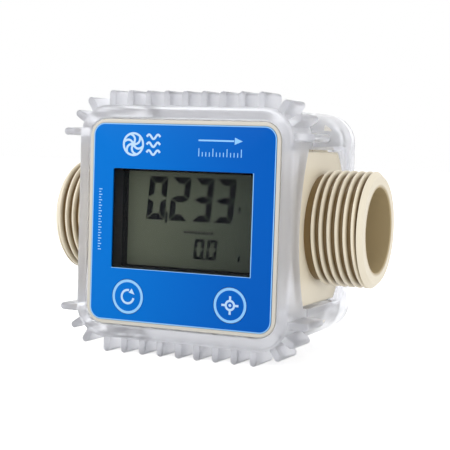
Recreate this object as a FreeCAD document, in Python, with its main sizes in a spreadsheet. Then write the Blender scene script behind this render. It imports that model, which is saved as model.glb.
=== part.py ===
"""Turbine flow meter with an electronic display, as a parametric FreeCAD document.

Millimetres. +X follows the flow from inlet to outlet, the display faces -Y and +Z is up.
The origin lies on the flow axis, midway between the two port faces.
"""
import FreeCAD, Part
import math
import os
import re

import Sketcher
from FreeCAD import Placement, Rotation, Vector

SIZES = [
    # flow pipe and its threaded ports
    ("port_reach", 48.5, "centre to port face"),
    ("thread_radius", 16.62, "crest radius of the G1 thread"),
    ("port_chamfer", 1.4, "lead chamfer on the port"),
    ("bore_radius", 12.13, "bore of the outlet port"),
    ("pipe_wall", 2.67, "wall of the pipe round the turbine chamber"),
    ("relief_wide", 2.0, "relief between cheek and thread"),
    ("relief_deep", 1.5, "relief below the thread's crest"),
    ("stop_height", 0.4, "step that stops the turbine cartridge"),
    ("stop_place", 13.0, "centre to the stop"),
    # cheeks that carry the ports
    ("cheek_step", 2.3, "cheek's outer face beyond the tray's side"),
    ("cheek_half", 21.75, "half height of a cheek"),
    ("cheek_front", 21.6, "flow axis to the cheek's front"),
    ("cheek_rear", 21.2, "flow axis to the cheek's back"),
    ("front_bulge", 49.0, "radius of the cheek's front edge"),
    ("rear_bulge", 31.0, "radius of the cheek's back edge"),
    ("cheek_edge", 0.6, "chamfer of the cheek's outer edge"),
    ("rib_thick", 1.8, "stiffening ribs behind the pipe"),
    ("rib_rear", 19.0, "flow axis to the ribs' back edge"),
    # electronics tray and cover, counted back from the jacket's front
    ("half_depth", 29.0, "flow axis to the jacket's front and back"),
    ("label_sink", 0.1, "label behind the jacket's front"),
    ("cover_edge", 1.1, "cream edge outside the label's recess"),
    ("label_corner", 3.5, "corner radius of the label"),
    ("label_thick", 0.4, "label sheet"),
    ("label_gap", 0.1, "label to its recess"),
    ("cover_half", 29.2, "half width of the cover and tray"),
    ("cover_corner", 5.2, "corner radius of the cover and tray"),
    ("cover_rim", 0.3, "rim that frames the label"),
    ("cover_web", 1.7, "cover under the label"),
    ("gasket_thick", 0.6, "cover gasket"),
    ("gasket_inset", 0.2, "gasket behind the outer edge"),
    ("tray_wall", 1.6, "side walls of the tray"),
    ("floor_wall", 1.47, "turbine chamber to the back of the tray floor"),
    ("tray_floor", 1.8, "tray floor"),
    ("lip_height", 1.8, "locating lips behind the cover"),
    ("lip_thick", 1.2, "locating lips"),
    ("lip_end", 12.2, "end of a locating lip to the cover's side"),
    ("lip_gap", 0.15, "lip to tray wall"),
    # window and display
    ("window_side", 6.5, "label beside the window"),
    ("window_head", 12.7, "label above the window"),
    ("window_foot", 15.0, "label below the window"),
    ("lens_border", 0.6, "lens under the label's edge"),
    ("lens_thick", 0.6, "window lens"),
    ("sleeve_wall", 1.5, "wall of the display frame's sleeve"),
    ("sleeve_gap", 0.1, "sleeve to cover"),
    ("display_stand", 3.3, "display glass off the circuit board"),
    ("display_thick", 2.2, "display glass"),
    ("display_border", 1.2, "glass beyond the window"),
    ("frame_wall", 1.9, "frame beside the display glass"),
    ("frame_gap", 0.1, "display glass to frame"),
    ("strip_wide", 2.0, "elastomer connector strips"),
    # circuit board and switches
    ("board_gap", 0.6, "board to tray wall"),
    ("board_notch", 5.4, "corner notch round a screw boss"),
    ("board_thick", 1.6, "circuit board"),
    ("switch_half", 3.0, "half width of a key switch"),
    ("switch_tall", 3.5, "key switch body"),
    ("plunger_radius", 1.7, "key switch plunger"),
    ("plunger_stand", 1.0, "plunger above the switch body"),
    ("plunger_gap", 0.05, "plunger to switch body"),
    ("plunger_root", 1.6, "plunger inside the switch body"),
    ("key_travel", 0.5, "travel of a key"),
    ("key_side", 12.15, "key centre to the label's side"),
    ("key_foot", 7.0, "key centre to the label's foot"),
    ("key_radius", 4.95, "key cap"),
    ("key_gap", 0.1, "key cap to label"),
    ("stem_radius", 2.0, "key stem"),
    ("stem_gap", 0.1, "key stem to cover"),
    ("reed_radius", 0.9, "reed switch capsule"),
    ("reed_length", 12.0, "reed switch capsule"),
    ("reed_spread", 2.6, "reed switch from the middle"),
    ("reed_room", 0.15, "space round a reed switch"),
    # what stands on the board's front
    ("controller_half", 3.5, "half width of the controller"),
    ("controller_tall", 1.4, "controller above the board"),
    ("crystal_half", 3.0, "half length of the crystal"),
    ("crystal_wide", 2.4, "crystal"),
    ("capacitor_half", 1.6, "half length of a capacitor"),
    ("capacitor_wide", 1.6, "capacitor"),
    ("capacitor_tall", 0.9, "capacitor above the board"),
    ("socket_half", 4.5, "half width of the battery socket"),
    ("socket_wide", 5.2, "battery socket"),
    ("socket_tall", 2.2, "battery socket above the board"),
    ("part_step", 4.5, "spacing of the parts on the board"),
    # cover screws
    ("screw_inset", 4.2, "screw centre to the cover's sides"),
    ("screw_radius", 1.1, "screw shank"),
    ("screw_length", 8.5, "screw under the head"),
    ("screw_gap", 0.1, "shank to cover"),
    ("head_radius", 2.1, "screw head"),
    ("head_tall", 0.9, "screw head"),
    ("driver_half", 1.5, "half length of a screw's driver slot"),
    ("driver_wide", 0.6, "driver slot"),
    ("boss_wall", 1.6, "boss round a screw"),
    # battery tubes
    ("cell_radius", 5.25, "AAA cell"),
    ("cell_length", 44.5, "AAA cell with its nub"),
    ("nub_radius", 1.9, "positive nub"),
    ("nub_tall", 0.8, "positive nub"),
    ("cell_gap", 0.2, "cell to tube"),
    ("tube_wall", 0.95, "battery tube"),
    ("tube_back", 4.6, "tube centre behind the flow axis"),
    ("tube_clear", 1.45, "tube to the inside of the jacket"),
    ("tube_inset", 2.8, "open end of a tube to the tray's side"),
    ("tube_end", 1.5, "closed end of a tube"),
    ("contact_thick", 0.3, "battery contacts"),
    ("contact_radius", 4.4, "battery contacts"),
    ("leaf_rise", 2.4, "sprung leaf off its contact"),
    ("leaf_half", 1.4, "half width of the sprung leaf"),
    ("leaf_root", 3.1, "root of the leaf from the tube's centre"),
    ("leaf_crest", 0.9, "crest of the leaf from the tube's centre"),
    ("leaf_end", 2.2, "end of the leaf from the tube's centre"),
    ("leaf_curl", 0.8, "end of the leaf off the cell"),
    ("cap_flange", 0.7, "flange of a battery cap"),
    ("cap_overhang", 0.9, "flange beyond the bore"),
    ("cap_gap", 0.1, "cap to tube"),
    ("slot_wide", 1.4, "coin slot"),
    ("slot_half", 4.4, "half length of the coin slot"),
    ("seal_thick", 0.5, "flat seal under a cap's flange"),
    # turbine cartridge
    ("hub_radius", 5.5, "rotor hub"),
    ("rotor_half", 6.5, "half length of the rotor hub"),
    ("tip_gap", 0.6, "blade tip to chamber"),
    ("blade_count", 6, "blades"),
    ("blade_wide", 1.5, "blade along the flow"),
    ("blade_run", 8.5, "axial run of a blade's sweep"),
    ("blade_pitch", 60.0, "axial pitch of the blade helix"),
    ("bush_radius", 2.0, "rotor bush"),
    ("bush_length", 3.0, "rotor bush"),
    ("shaft_radius", 1.0, "rotor shaft"),
    ("shaft_gap", 0.04, "shaft to bush"),
    ("shaft_seat", 4.0, "shaft inside a support"),
    ("end_play", 0.4, "rotor hub to a support"),
    ("magnet_radius", 1.2, "rotor magnet"),
    ("magnet_length", 3.0, "rotor magnet"),
    ("support_long", 5.0, "rim and vanes of a support"),
    ("support_rim", 1.1, "rim of a support"),
    ("support_gap", 0.05, "support to chamber"),
    ("vane_thick", 1.2, "support vane"),
    ("vane_count", 4, "vanes in a support"),
    ("nose_long", 4.5, "cone on the nose of a support"),
    ("nose_tip", 1.0, "blunt tip of that cone"),
    ("clip_thick", 1.2, "retaining ring"),
    ("clip_bite", 0.6, "retaining ring in its groove"),
    ("clip_wide", 1.7, "radial width of the retaining ring"),
    ("clip_mouth", 3.0, "half opening of the retaining ring"),
    ("ear_inset", 0.7, "ear of the retaining ring inside its arc"),
    ("ear_hole", 0.4, "plier hole in an ear"),
    # clear jacket
    ("side_wall", 3.35, "side wall of the jacket"),
    ("top_wall", 3.75, "top and bottom walls of the jacket"),
    ("jacket_corner", 9.0, "corner radius of the jacket"),
    ("jacket_gap", 0.25, "cover to jacket"),
    ("jacket_back", 3.0, "rear wall of the jacket"),
    ("jacket_round", 6.0, "rounding of the jacket's back"),
    ("jacket_lead", 0.8, "chamfer of the jacket's front"),
    ("opening_gap", 0.25, "cheek to jacket opening"),
    ("fin_thick", 2.1, "bumper fin"),
    ("fin_tall", 4.2, "bumper fin above the jacket"),
    ("fin_tip", 1.3, "rounding of a fin's tip"),
    ("fin_pitch", 5.7, "fin to fin"),
    ("fin_deep", 12.4, "fin front to back"),
    ("fin_setback", 1.0, "fin behind the jacket's front"),
    ("fin_root", 1.5, "fin sunk into the wall"),
    ("fin_pairs", 4, "fins each side of the middle fin"),
    ("fan_first", 31.0, "first corner fin from upright, degrees"),
    ("fan_step", 26.5, "corner fin to corner fin, degrees"),
    ("fan_tall", 3.8, "corner fin beyond the corner"),
    ("side_fin_tall", 5.7, "level fin beyond the side"),
    ("level_drop", 7.8, "level fin below the jacket's top"),
]

DOC = FreeCAD.newDocument("FlowMeter")
SHEET = DOC.addObject("Spreadsheet::Sheet", "Sizes")
for row, (alias, number, meaning) in enumerate(SIZES, start=1):
    SHEET.set(f"A{row}", meaning)
    SHEET.set(f"B{row}", str(number))
    SHEET.setAlias(f"B{row}", alias)
DOC.recompute()
ALIASES = {alias for alias, _, _ in SIZES}

# sizes that follow from others, by name
DERIVED = {
    "chamber": "bore_radius + stop_height",
    "pipe_radius": "chamber + pipe_wall",
    "cheek_reach": "cover_half + cheek_step",
    "label_half": "cover_half - cover_edge - label_gap",
    "lip_half": "cover_half - lip_end",
    "screw_spread": "cover_half - screw_inset",
    "tray_half": "cover_half - tray_wall",
    "board_half": "tray_half - board_gap",
    "window_half": "label_half - window_side",
    "window_tall": "label_half - (window_head + window_foot)/2",
    "window_rise": "(window_foot - window_head)/2",
    "key_spread": "label_half - key_side",
    "key_drop": "label_half - key_foot",
    "inner_half": "cover_half + jacket_gap",
    "jacket_side": "inner_half + side_wall",
    "jacket_top": "inner_half + top_wall",
    "side_fin_rise": "jacket_top - level_drop",
    "tube_bore": "cell_radius + cell_gap",
    "tube_outside": "tube_bore + tube_wall",
    "tube_rise": "inner_half - tube_outside - tube_clear",
    "tube_reach": "cover_half - tube_inset",
    "magnet_orbit": "(hub_radius + bush_radius)/2",
}
NODES = []
FORWARD = Vector(0, 0, 1)

# places along Y, from the front backwards
LABEL_FRONT = "(label_sink - half_depth)"
LABEL_BACK = f"({LABEL_FRONT} + label_thick)"
COVER_FRONT = f"({LABEL_BACK} - cover_rim)"
COVER_BACK = f"({LABEL_BACK} + cover_web)"
TRAY_RIM = f"({COVER_BACK} + gasket_thick)"
FLOOR_BACK = "(-chamber - floor_wall)"
FLOOR_FRONT = f"({FLOOR_BACK} - tray_floor)"
LENS_BACK = f"({LABEL_BACK} + lens_thick)"
BOARD_FRONT = f"({FLOOR_FRONT} - board_thick)"
GLASS_BACK = f"({BOARD_FRONT} - display_stand)"
GLASS_FRONT = f"({GLASS_BACK} - display_thick)"
SWITCH_FRONT = f"({BOARD_FRONT} - switch_tall)"
PLUNGER_FRONT = f"({SWITCH_FRONT} - plunger_stand)"
KEY_POCKET = f"({LABEL_BACK} + key_travel + key_gap)"
HEAD_FRONT = f"({LABEL_BACK} + screw_gap)"
HEAD_BACK = f"({HEAD_FRONT} + head_tall)"

# radii and half widths that more than one piece shares
TRAY_CORNER = "(cover_corner - tray_wall)"
TUBE_FLOOR = "(tray_half - tube_end)"
CAP_RADIUS = "(tube_bore - cap_gap)"
FLANGE_RADIUS = "(tube_bore + cap_overhang)"
CELL_FRONT = f"({TUBE_FLOOR} - contact_thick)"
CELL_REAR = f"({CELL_FRONT} - cell_length)"
CAP_FACE = f"({CELL_REAR} - leaf_rise - contact_thick)"
GLASS_WIDE = "(window_half + display_border)"
GLASS_TALL = "(window_tall + display_border)"
SLEEVE_WIDE = "(window_half + sleeve_wall)"
SLEEVE_TALL = "(window_tall + sleeve_wall)"
FRAME_WIDE = f"({GLASS_WIDE} + frame_gap + frame_wall)"
FRAME_TALL = f"({GLASS_TALL} + frame_gap + frame_wall)"
BOSS_RADIUS = "(screw_radius + boss_wall)"
SUPPORT_FACE = "(rotor_half + end_play)"
SUPPORT_RADIUS = "(chamber - support_gap)"
INNER_CORNER = "(cover_corner + jacket_gap)"


def bound(text):
    """The expression for a text of size names, with derived sizes spelled out."""
    def spelled(match):
        name = match[0]
        if name in DERIVED:
            return f"({bound(DERIVED[name])})"
        return f"Sizes.{name}" if name in ALIASES else name
    return re.sub(r"[a-z_]+", spelled, text)


def value(text):
    """The number that an expression has now."""
    return float(SHEET.evalExpression(bound(text)))


def node(shape, label):
    """Name a finished sub-part and list it for writing."""
    shape.Label = label
    NODES.append(shape)
    return shape


def new_body(label):
    """A body whose label names its file."""
    body = DOC.addObject("PartDesign::Body", "Body")
    return node(body, label)


def origin_feature(body, role):
    """The plane or axis of a body's own origin that has this role."""
    return [item for item in body.Origin.OriginFeatures if item.Role == role][0]


def new_sketch(body, role, place, shift=("0", "0")):
    """A sketch on one of the body's planes, moved by shift in the plane and by place off it."""
    sketch = body.newObject("Sketcher::SketchObject", "Sketch")
    sketch.AttachmentSupport = [(origin_feature(body, role), "")]
    sketch.MapMode = "FlatFace"
    for axis, text in zip("xyz", (*shift, place)):
        sketch.setExpression(f"AttachmentOffset.Base.{axis}", bound(text))
    return sketch


def hold(sketch, kind, parts, text):
    """Add one constraint and bind it to the sheet."""
    name = f"held_{sketch.ConstraintCount}"
    index = sketch.addConstraint(Sketcher.Constraint(kind, *parts, value(text)))
    sketch.renameConstraint(index, name)
    sketch.setExpression(f"Constraints.{name}", bound(text))


def edge_between(start, end, radius):
    """A line, or an arc that bulges to the right of its travel, or to the left if radius is negative."""
    if radius is None:
        return Part.LineSegment(start, end)
    middle = (start + end) * 0.5
    right = Vector(end.y - start.y, start.x - end.x, 0).normalize()
    rise = math.sqrt(max(radius ** 2 - (start - middle).Length ** 2, 0))
    centre = middle - right * math.copysign(rise, radius)
    if radius < 0:
        start, end = end, start
    angles = [math.atan2(p.y - centre.y, p.x - centre.x) for p in (start, end)]
    return Part.ArcOfCircle(Part.Circle(centre, FORWARD, abs(radius)), *angles)


def outline(*corners):
    """A closed outline, anticlockwise. A third entry in a corner is the radius of the arc that leaves it."""
    def draw(sketch):
        points = [Vector(value(corner[0]), value(corner[1]), 0) for corner in corners]
        radii = [value(corner[2]) if len(corner) > 2 else None for corner in corners]
        first, count = sketch.GeometryCount, len(corners)
        ends = []
        for index in range(count):
            after = (index + 1) % count
            sketch.addGeometry(edge_between(points[index], points[after], radii[index]))
            backward = radii[index] is not None and radii[index] < 0
            ends.append((2, 1) if backward else (1, 2))
        for index, corner in enumerate(corners):
            before = (index - 1) % count
            start = (first + index, ends[index][0])
            sketch.addConstraint(Sketcher.Constraint("Coincident", first + before, ends[before][1], *start))
            hold(sketch, "DistanceX", (-1, 1, *start), corner[0])
            hold(sketch, "DistanceY", (-1, 1, *start), corner[1])
            if len(corner) > 2:
                hold(sketch, "Radius", (first + index,), f"abs({corner[2]})")
    return draw


def box(half_x, half_y, x="0", y="0", corner=None):
    """A rectangle about a centre, with round corners if a corner radius is given."""
    left, right = f"({x} - ({half_x}))", f"({x} + ({half_x}))"
    low, high = f"({y} - ({half_y}))", f"({y} + ({half_y}))"
    if corner is None:
        return outline((left, low), (right, low), (right, high), (left, high))
    return outline((f"{left} + {corner}", low), (f"{right} - {corner}", low, corner),
                   (right, f"{low} + {corner}"), (right, f"{high} - {corner}", corner),
                   (f"{right} - {corner}", high), (f"{left} + {corner}", high, corner),
                   (left, f"{high} - {corner}"), (left, f"{low} + {corner}", corner))


def circle(radius, x="0", y="0"):
    """A circle about a point."""
    def draw(sketch):
        centre = Vector(value(x), value(y), 0)
        index = sketch.addGeometry(Part.Circle(centre, FORWARD, value(radius)))
        hold(sketch, "Radius", (index,), radius)
        hold(sketch, "DistanceX", (-1, 1, index, 3), x)
        hold(sketch, "DistanceY", (-1, 1, index, 3), y)
    return draw


def prism(body, kind, role, low, high, *drawings):
    """Pad or pocket drawings between two places along the plane's row axis.

    The XZ plane's sketch looks along -Y, so a pad there starts at its high place.
    """
    faces_back = role == "XZ_Plane"
    adds = kind == "Pad"
    place = high if adds == faces_back else low
    sketch = new_sketch(body, role, f"-({place})" if faces_back else place)
    for draw in drawings:
        draw(sketch)
    feature = body.newObject(f"PartDesign::{kind}", kind)
    feature.Profile = sketch
    feature.setExpression("Length", bound(f"({high}) - ({low})"))
    DOC.recompute()
    return feature


def pad(body, role, low, high, *drawings):
    """Material between two places."""
    return prism(body, "Pad", role, low, high, *drawings)


def pocket(body, role, low, high, *drawings):
    """A cut between two places."""
    return prism(body, "Pocket", role, low, high, *drawings)


def turned(body, kind, profile, axis="H_Axis", shift=("0", "0"), place="0"):
    """Turn a closed profile, drawn on the XY plane, about one of its sketch's own axes."""
    sketch = new_sketch(body, "XY_Plane", place, shift)
    profile(sketch)
    feature = body.newObject(f"PartDesign::{kind}", kind)
    feature.Profile = sketch
    feature.ReferenceAxis = (sketch, [axis])
    DOC.recompute()
    return feature


def mirrored(body, features, role):
    """Repeat features on the far side of one of the body's planes."""
    mirror = body.newObject("PartDesign::Mirrored", "Mirrored")
    mirror.Originals = features
    mirror.MirrorPlane = (origin_feature(body, role), [""])
    body.Tip = mirror
    DOC.recompute()
    return mirror


def mirrored_both(body, features, first="YZ_Plane", second="XY_Plane", pattern=None):
    """Repeat features in all four quarters, after an optional pattern."""
    steps = [] if pattern is None else [pattern]
    for role in (first, second):
        mirror = DOC.addObject("PartDesign::Mirrored", "Mirror")
        mirror.MirrorPlane = (origin_feature(body, role), [""])
        steps.append(mirror)
    repeat = body.newObject("PartDesign::MultiTransform", "Quarters")
    repeat.Originals = features
    repeat.Transformations = steps
    body.Tip = repeat
    DOC.recompute()
    return repeat


def polar(body, features, count, axis="X_Axis"):
    """Repeat features evenly round an axis."""
    pattern = body.newObject("PartDesign::PolarPattern", "Round")
    pattern.Originals = features
    pattern.Axis = (origin_feature(body, axis), [""])
    pattern.Angle = 360
    pattern.setExpression("Occurrences", bound(count))
    body.Tip = pattern
    DOC.recompute()
    return pattern


def edges_where(shape, test):
    """Names of the edges whose every corner passes a test."""
    return [f"Edge{index}" for index, edge in enumerate(shape.Edges, start=1)
            if edge.Vertexes and all(test(vertex.Point) for vertex in edge.Vertexes)]


def rounded(body, radius, test, kind="Fillet"):
    """Fillet or chamfer the edges of the body's tip that pass a test."""
    base = body.Tip
    names = edges_where(base.Shape, test)
    feature = body.newObject(f"PartDesign::{kind}", kind)
    feature.Base = (base, names)
    feature.setExpression("Radius" if kind == "Fillet" else "Size", bound(radius))
    DOC.recompute()
    return feature


def near(number, text):
    """Whether a number is the value of an expression."""
    return abs(number - value(text)) < 1e-4


def group(label, *shapes):
    """Separate solids that share one node."""
    compound = DOC.addObject("Part::Compound", "Group")
    compound.Links = list(shapes)
    return node(compound, label)


def reflected(source, normal):
    """A mirror image of a shape through the origin."""
    mirror = DOC.addObject("Part::Mirroring", "Image")
    mirror.Source = source
    mirror.Normal = normal
    return mirror


def cylinder_along_flow(radius, start, end, y="0", z="0"):
    """A plain cylinder that lies along X."""
    shape = DOC.addObject("Part::Cylinder", "Cylinder")
    shape.Placement = Placement(Vector(), Rotation(Vector(0, 1, 0), 90))
    shape.setExpression("Radius", bound(radius))
    shape.setExpression("Height", bound(f"({end}) - ({start})"))
    for axis, text in zip("xyz", (start, y, z)):
        shape.setExpression(f"Placement.Base.{axis}", bound(text))
    return shape


def cheek(gap="0"):
    """A cheek's outline seen along X: flat top and bottom, bulging front and back."""
    half = f"(cheek_half + {gap})"
    front, rear = f"(front_bulge + {gap})", f"(rear_bulge + {gap})"
    front_corner = f"({front} - sqrt({front}^2 - {half}^2) - cheek_front - {gap})"
    rear_corner = f"(cheek_rear + {gap} - {rear} + sqrt({rear}^2 - {half}^2))"
    return outline((front_corner, f"-{half}"), (rear_corner, f"-{half}", rear),
                   (rear_corner, half), (front_corner, half, front))


def make_main_body():
    """One moulding: pipe and ports, two cheeks, battery tubes and the electronics tray."""
    body = new_body("main_body")
    pad(body, "YZ_Plane", "-tray_half", "tray_half", circle("pipe_radius"))
    port = pad(body, "YZ_Plane", "tray_half", "port_reach", circle("thread_radius"))
    side = pad(body, "YZ_Plane", "tray_half", "cheek_reach", cheek())
    relief = turned(body, "Groove", box("relief_wide/2", "relief_deep", "cheek_reach + relief_wide/2",
                                        "thread_radius"))
    mirrored(body, [port, side, relief], "YZ_Plane")
    rounded(body, "cheek_edge", lambda p: near(abs(p.x), "cheek_reach") and near(abs(p.z), "cheek_half"),
            "Chamfer")
    rounded(body, "port_chamfer", lambda p: near(abs(p.x), "port_reach"), "Chamfer")
    tube = pad(body, "YZ_Plane", "-tube_reach", "tray_half",
               circle("tube_outside", "tube_back", "tube_rise"))
    web = pad(body, "YZ_Plane", "-tube_reach", "tray_half",
              box("rib_thick/2", "tube_rise/2", "tube_back", "tube_rise/2"))
    mirrored(body, [tube, web], "XY_Plane")
    pad(body, "XZ_Plane", TRAY_RIM, FLOOR_BACK, box("cover_half", "cover_half", corner="cover_corner"))
    pad(body, "XY_Plane", "-rib_thick/2", "rib_thick/2",
        box("tray_half", "rib_rear/2", "0", "rib_rear/2"))
    rib = pad(body, "YZ_Plane", "stop_place - rib_thick/2", "stop_place + rib_thick/2",
              box("rib_rear/2", "cheek_half", "rib_rear/2", "0"))
    mirrored(body, [rib], "YZ_Plane")
    pocket(body, "XZ_Plane", TRAY_RIM, FLOOR_FRONT, box("tray_half", "tray_half", corner=TRAY_CORNER))
    boss = pad(body, "XZ_Plane", TRAY_RIM, FLOOR_BACK,
               circle(BOSS_RADIUS, "screw_spread", "screw_spread"))
    pilot = pocket(body, "XZ_Plane", TRAY_RIM, f"{HEAD_BACK} + screw_length + screw_gap",
                   circle("screw_radius + screw_gap/4", "screw_spread", "screw_spread"))
    mirrored_both(body, [boss, pilot])
    reed_half = "(reed_radius + reed_room)"
    pocket(body, "XZ_Plane", FLOOR_FRONT, f"{FLOOR_FRONT} + 2*{reed_half}",
           box(f"reed_length/2 + {reed_half}", f"reed_spread + {reed_half}"))
    bore = pocket(body, "YZ_Plane", "-cheek_reach", TUBE_FLOOR, circle("tube_bore", "tube_back", "tube_rise"))
    seat = pocket(body, "YZ_Plane", "-cheek_reach", "-tube_reach",
                  circle(f"{FLANGE_RADIUS} + cap_gap", "tube_back", "tube_rise"))
    mirrored(body, [bore, seat], "XY_Plane")
    pocket(body, "YZ_Plane", "-port_reach", "port_reach", circle("bore_radius"))
    pocket(body, "YZ_Plane", "-port_reach", "stop_place", circle("chamber"))
    turned(body, "Groove", box("clip_thick/2", "(clip_bite + cap_gap)/2", "-stop_place - clip_thick/2",
                               "chamber + (clip_bite + cap_gap)/2"))
    return body


def make_front_cover():
    """The moulded cover that closes the tray and frames the label."""
    body = new_body("front_cover")
    pad(body, "XZ_Plane", COVER_FRONT, COVER_BACK, box("cover_half", "cover_half", corner="cover_corner"))
    lip_middle = "(tray_half - lip_gap - lip_thick/2)"
    level = pad(body, "XZ_Plane", COVER_BACK, f"{COVER_BACK} + lip_height",
                box("lip_half", "lip_thick/2", "0", lip_middle))
    upright = pad(body, "XZ_Plane", COVER_BACK, f"{COVER_BACK} + lip_height",
                  box("lip_thick/2", "lip_half", lip_middle, "0"))
    mirrored_both(body, [level, upright])
    pocket(body, "XZ_Plane", COVER_FRONT, LABEL_BACK,
           box("(label_half + label_gap)", "(label_half + label_gap)", corner="(label_corner + label_gap)"))
    pocket(body, "XZ_Plane", COVER_FRONT, COVER_BACK,
           box(f"({SLEEVE_WIDE} + sleeve_gap)", f"({SLEEVE_TALL} + sleeve_gap)", "0", "window_rise"))
    key_room = pocket(body, "XZ_Plane", COVER_FRONT, KEY_POCKET,
                      circle("key_radius + 2*key_gap", "key_spread", "-key_drop"))
    key_hole = pocket(body, "XZ_Plane", COVER_FRONT, COVER_BACK,
                      circle("stem_radius + stem_gap", "key_spread", "-key_drop"))
    mirrored(body, [key_room, key_hole], "YZ_Plane")
    head_room = pocket(body, "XZ_Plane", COVER_FRONT, HEAD_BACK,
                       circle("head_radius + screw_gap", "screw_spread", "screw_spread"))
    screw_hole = pocket(body, "XZ_Plane", COVER_FRONT, COVER_BACK,
                        circle("screw_radius + screw_gap", "screw_spread", "screw_spread"))
    mirrored_both(body, [head_room, screw_hole])
    return body


def make_cover_gasket():
    """The flat seal between cover and tray rim."""
    body = new_body("cover_gasket")
    outer, inner = "(cover_half - gasket_inset)", "(tray_half + gasket_inset)"
    pad(body, "XZ_Plane", COVER_BACK, TRAY_RIM, box(outer, outer, corner="(cover_corner - gasket_inset)"))
    pocket(body, "XZ_Plane", COVER_BACK, TRAY_RIM,
           box(inner, inner, corner=f"({TRAY_CORNER} + gasket_inset)"))
    return body


def make_label():
    """The printed front sheet with its window and the two key openings."""
    body = new_body("label")
    pad(body, "XZ_Plane", LABEL_FRONT, LABEL_BACK, box("label_half", "label_half", corner="label_corner"))
    pocket(body, "XZ_Plane", LABEL_FRONT, LABEL_BACK,
           box("window_half", "window_tall", "0", "window_rise"),
           circle("key_radius + key_gap", "key_spread", "-key_drop"),
           circle("key_radius + key_gap", "-key_spread", "-key_drop"))
    return body


def make_window_lens():
    """The clear sheet behind the label's window."""
    body = new_body("window_lens")
    pad(body, "XZ_Plane", LABEL_BACK, LENS_BACK,
        box("(window_half + lens_border)", "(window_tall + lens_border)", "0", "window_rise"))
    return body


def make_display_frame():
    """The dark frame: a sleeve up to the window, a tray for the glass and four feet."""
    body = new_body("display_frame")
    rise = ("0", "window_rise")
    pad(body, "XZ_Plane", COVER_BACK, GLASS_BACK, box(FRAME_WIDE, FRAME_TALL, *rise))
    pad(body, "XZ_Plane", LABEL_BACK, COVER_BACK, box(SLEEVE_WIDE, SLEEVE_TALL, *rise))
    pocket(body, "XZ_Plane", LABEL_BACK, GLASS_BACK, box("window_half", "window_tall", *rise))
    lens_room = "(lens_border + frame_gap)"
    pocket(body, "XZ_Plane", LABEL_BACK, LENS_BACK,
           box(f"(window_half + {lens_room})", f"(window_tall + {lens_room})", *rise))
    pocket(body, "XZ_Plane", GLASS_FRONT, GLASS_BACK,
           box(f"({GLASS_WIDE} + frame_gap)", f"({GLASS_TALL} + frame_gap)", *rise))
    x, z = f"({FRAME_WIDE} - frame_wall/2)", f"({FRAME_TALL} - frame_wall/2)"
    feet = [circle("frame_wall/2", f"{across}*{x}", f"window_rise + {up}*{z}")
            for across in (-1, 1) for up in (-1, 1)]
    pad(body, "XZ_Plane", f"{GLASS_BACK} - frame_wall", BOARD_FRONT, *feet)
    return body


def make_lcd_panel():
    """The display glass."""
    body = new_body("lcd_panel")
    pad(body, "XZ_Plane", GLASS_FRONT, GLASS_BACK, box(GLASS_WIDE, GLASS_TALL, "0", "window_rise"))
    return body


def make_connector_strips():
    """Two elastomer strips that join the glass to the board."""
    strips = []
    for side in (-1, 1):
        strip = DOC.addObject("Part::Box", "Strip")
        strip.setExpression("Length", bound(f"2*({GLASS_WIDE} - display_border)"))
        strip.setExpression("Width", bound(f"{BOARD_FRONT} - {GLASS_BACK}"))
        strip.setExpression("Height", bound("strip_wide"))
        strip.setExpression("Placement.Base.x", bound(f"-({GLASS_WIDE} - display_border)"))
        strip.setExpression("Placement.Base.y", bound(GLASS_BACK))
        middle = f"window_rise + {side}*({GLASS_TALL} - strip_wide/2 - frame_gap) - strip_wide/2"
        strip.setExpression("Placement.Base.z", bound(middle))
        strips.append(strip)
    return group("connector_strips", *strips)


def make_circuit_board():
    """The board, notched round the screw bosses."""
    body = new_body("circuit_board")
    wide, notch = "board_half", "(board_half - board_notch)"
    pad(body, "XZ_Plane", BOARD_FRONT, FLOOR_FRONT,
        outline((f"-{notch}", f"-{wide}"), (notch, f"-{wide}"), (notch, f"-{notch}"), (wide, f"-{notch}"),
                (wide, notch), (notch, notch), (notch, wide), (f"-{notch}", wide),
                (f"-{notch}", notch), (f"-{wide}", notch), (f"-{wide}", f"-{notch}"),
                (f"-{notch}", f"-{notch}")))
    return body


def on_board(half_long, wide, tall, x, z):
    """A block on the board's front, centred on a place."""
    block = DOC.addObject("Part::Box", "Block")
    for name, text in (("Length", f"2*{half_long}"), ("Width", tall), ("Height", wide),
                       ("Placement.Base.x", f"{x} - {half_long}"),
                       ("Placement.Base.y", f"{BOARD_FRONT} - {tall}"),
                       ("Placement.Base.z", f"{z} - {wide}/2")):
        block.setExpression(name, bound(text))
    return block


def make_board_parts():
    """Controller, crystal, capacitors and battery socket on the board's front."""
    controller = on_board("controller_half", "2*controller_half", "controller_tall",
                          "-part_step", "-part_step")
    crystal = on_board("crystal_half", "crystal_wide", "controller_tall", "part_step", "-1.5*part_step")
    capacitors = [on_board("capacitor_half", "capacitor_wide", "capacitor_tall", x, z)
                  for x, z in (("part_step", "-part_step/2"), ("part_step", "part_step/2"),
                               ("-part_step", "part_step/2"))]
    socket = on_board("socket_half", "socket_wide", "socket_tall", "0", "-key_drop")
    return group("board_parts", controller, crystal, *capacitors, socket)


def make_key_switches():
    """Two key switch bodies, each bored for its plunger."""
    body = DOC.addObject("PartDesign::Body", "Switch")
    pad(body, "XZ_Plane", SWITCH_FRONT, BOARD_FRONT,
        box("switch_half", "switch_half", "key_spread", "-key_drop"))
    pocket(body, "XZ_Plane", SWITCH_FRONT, f"{SWITCH_FRONT} + plunger_root + key_travel + plunger_gap",
           circle("plunger_radius + plunger_gap", "key_spread", "-key_drop"))
    return group("key_switches", body, reflected(body, Vector(1, 0, 0)))


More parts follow.
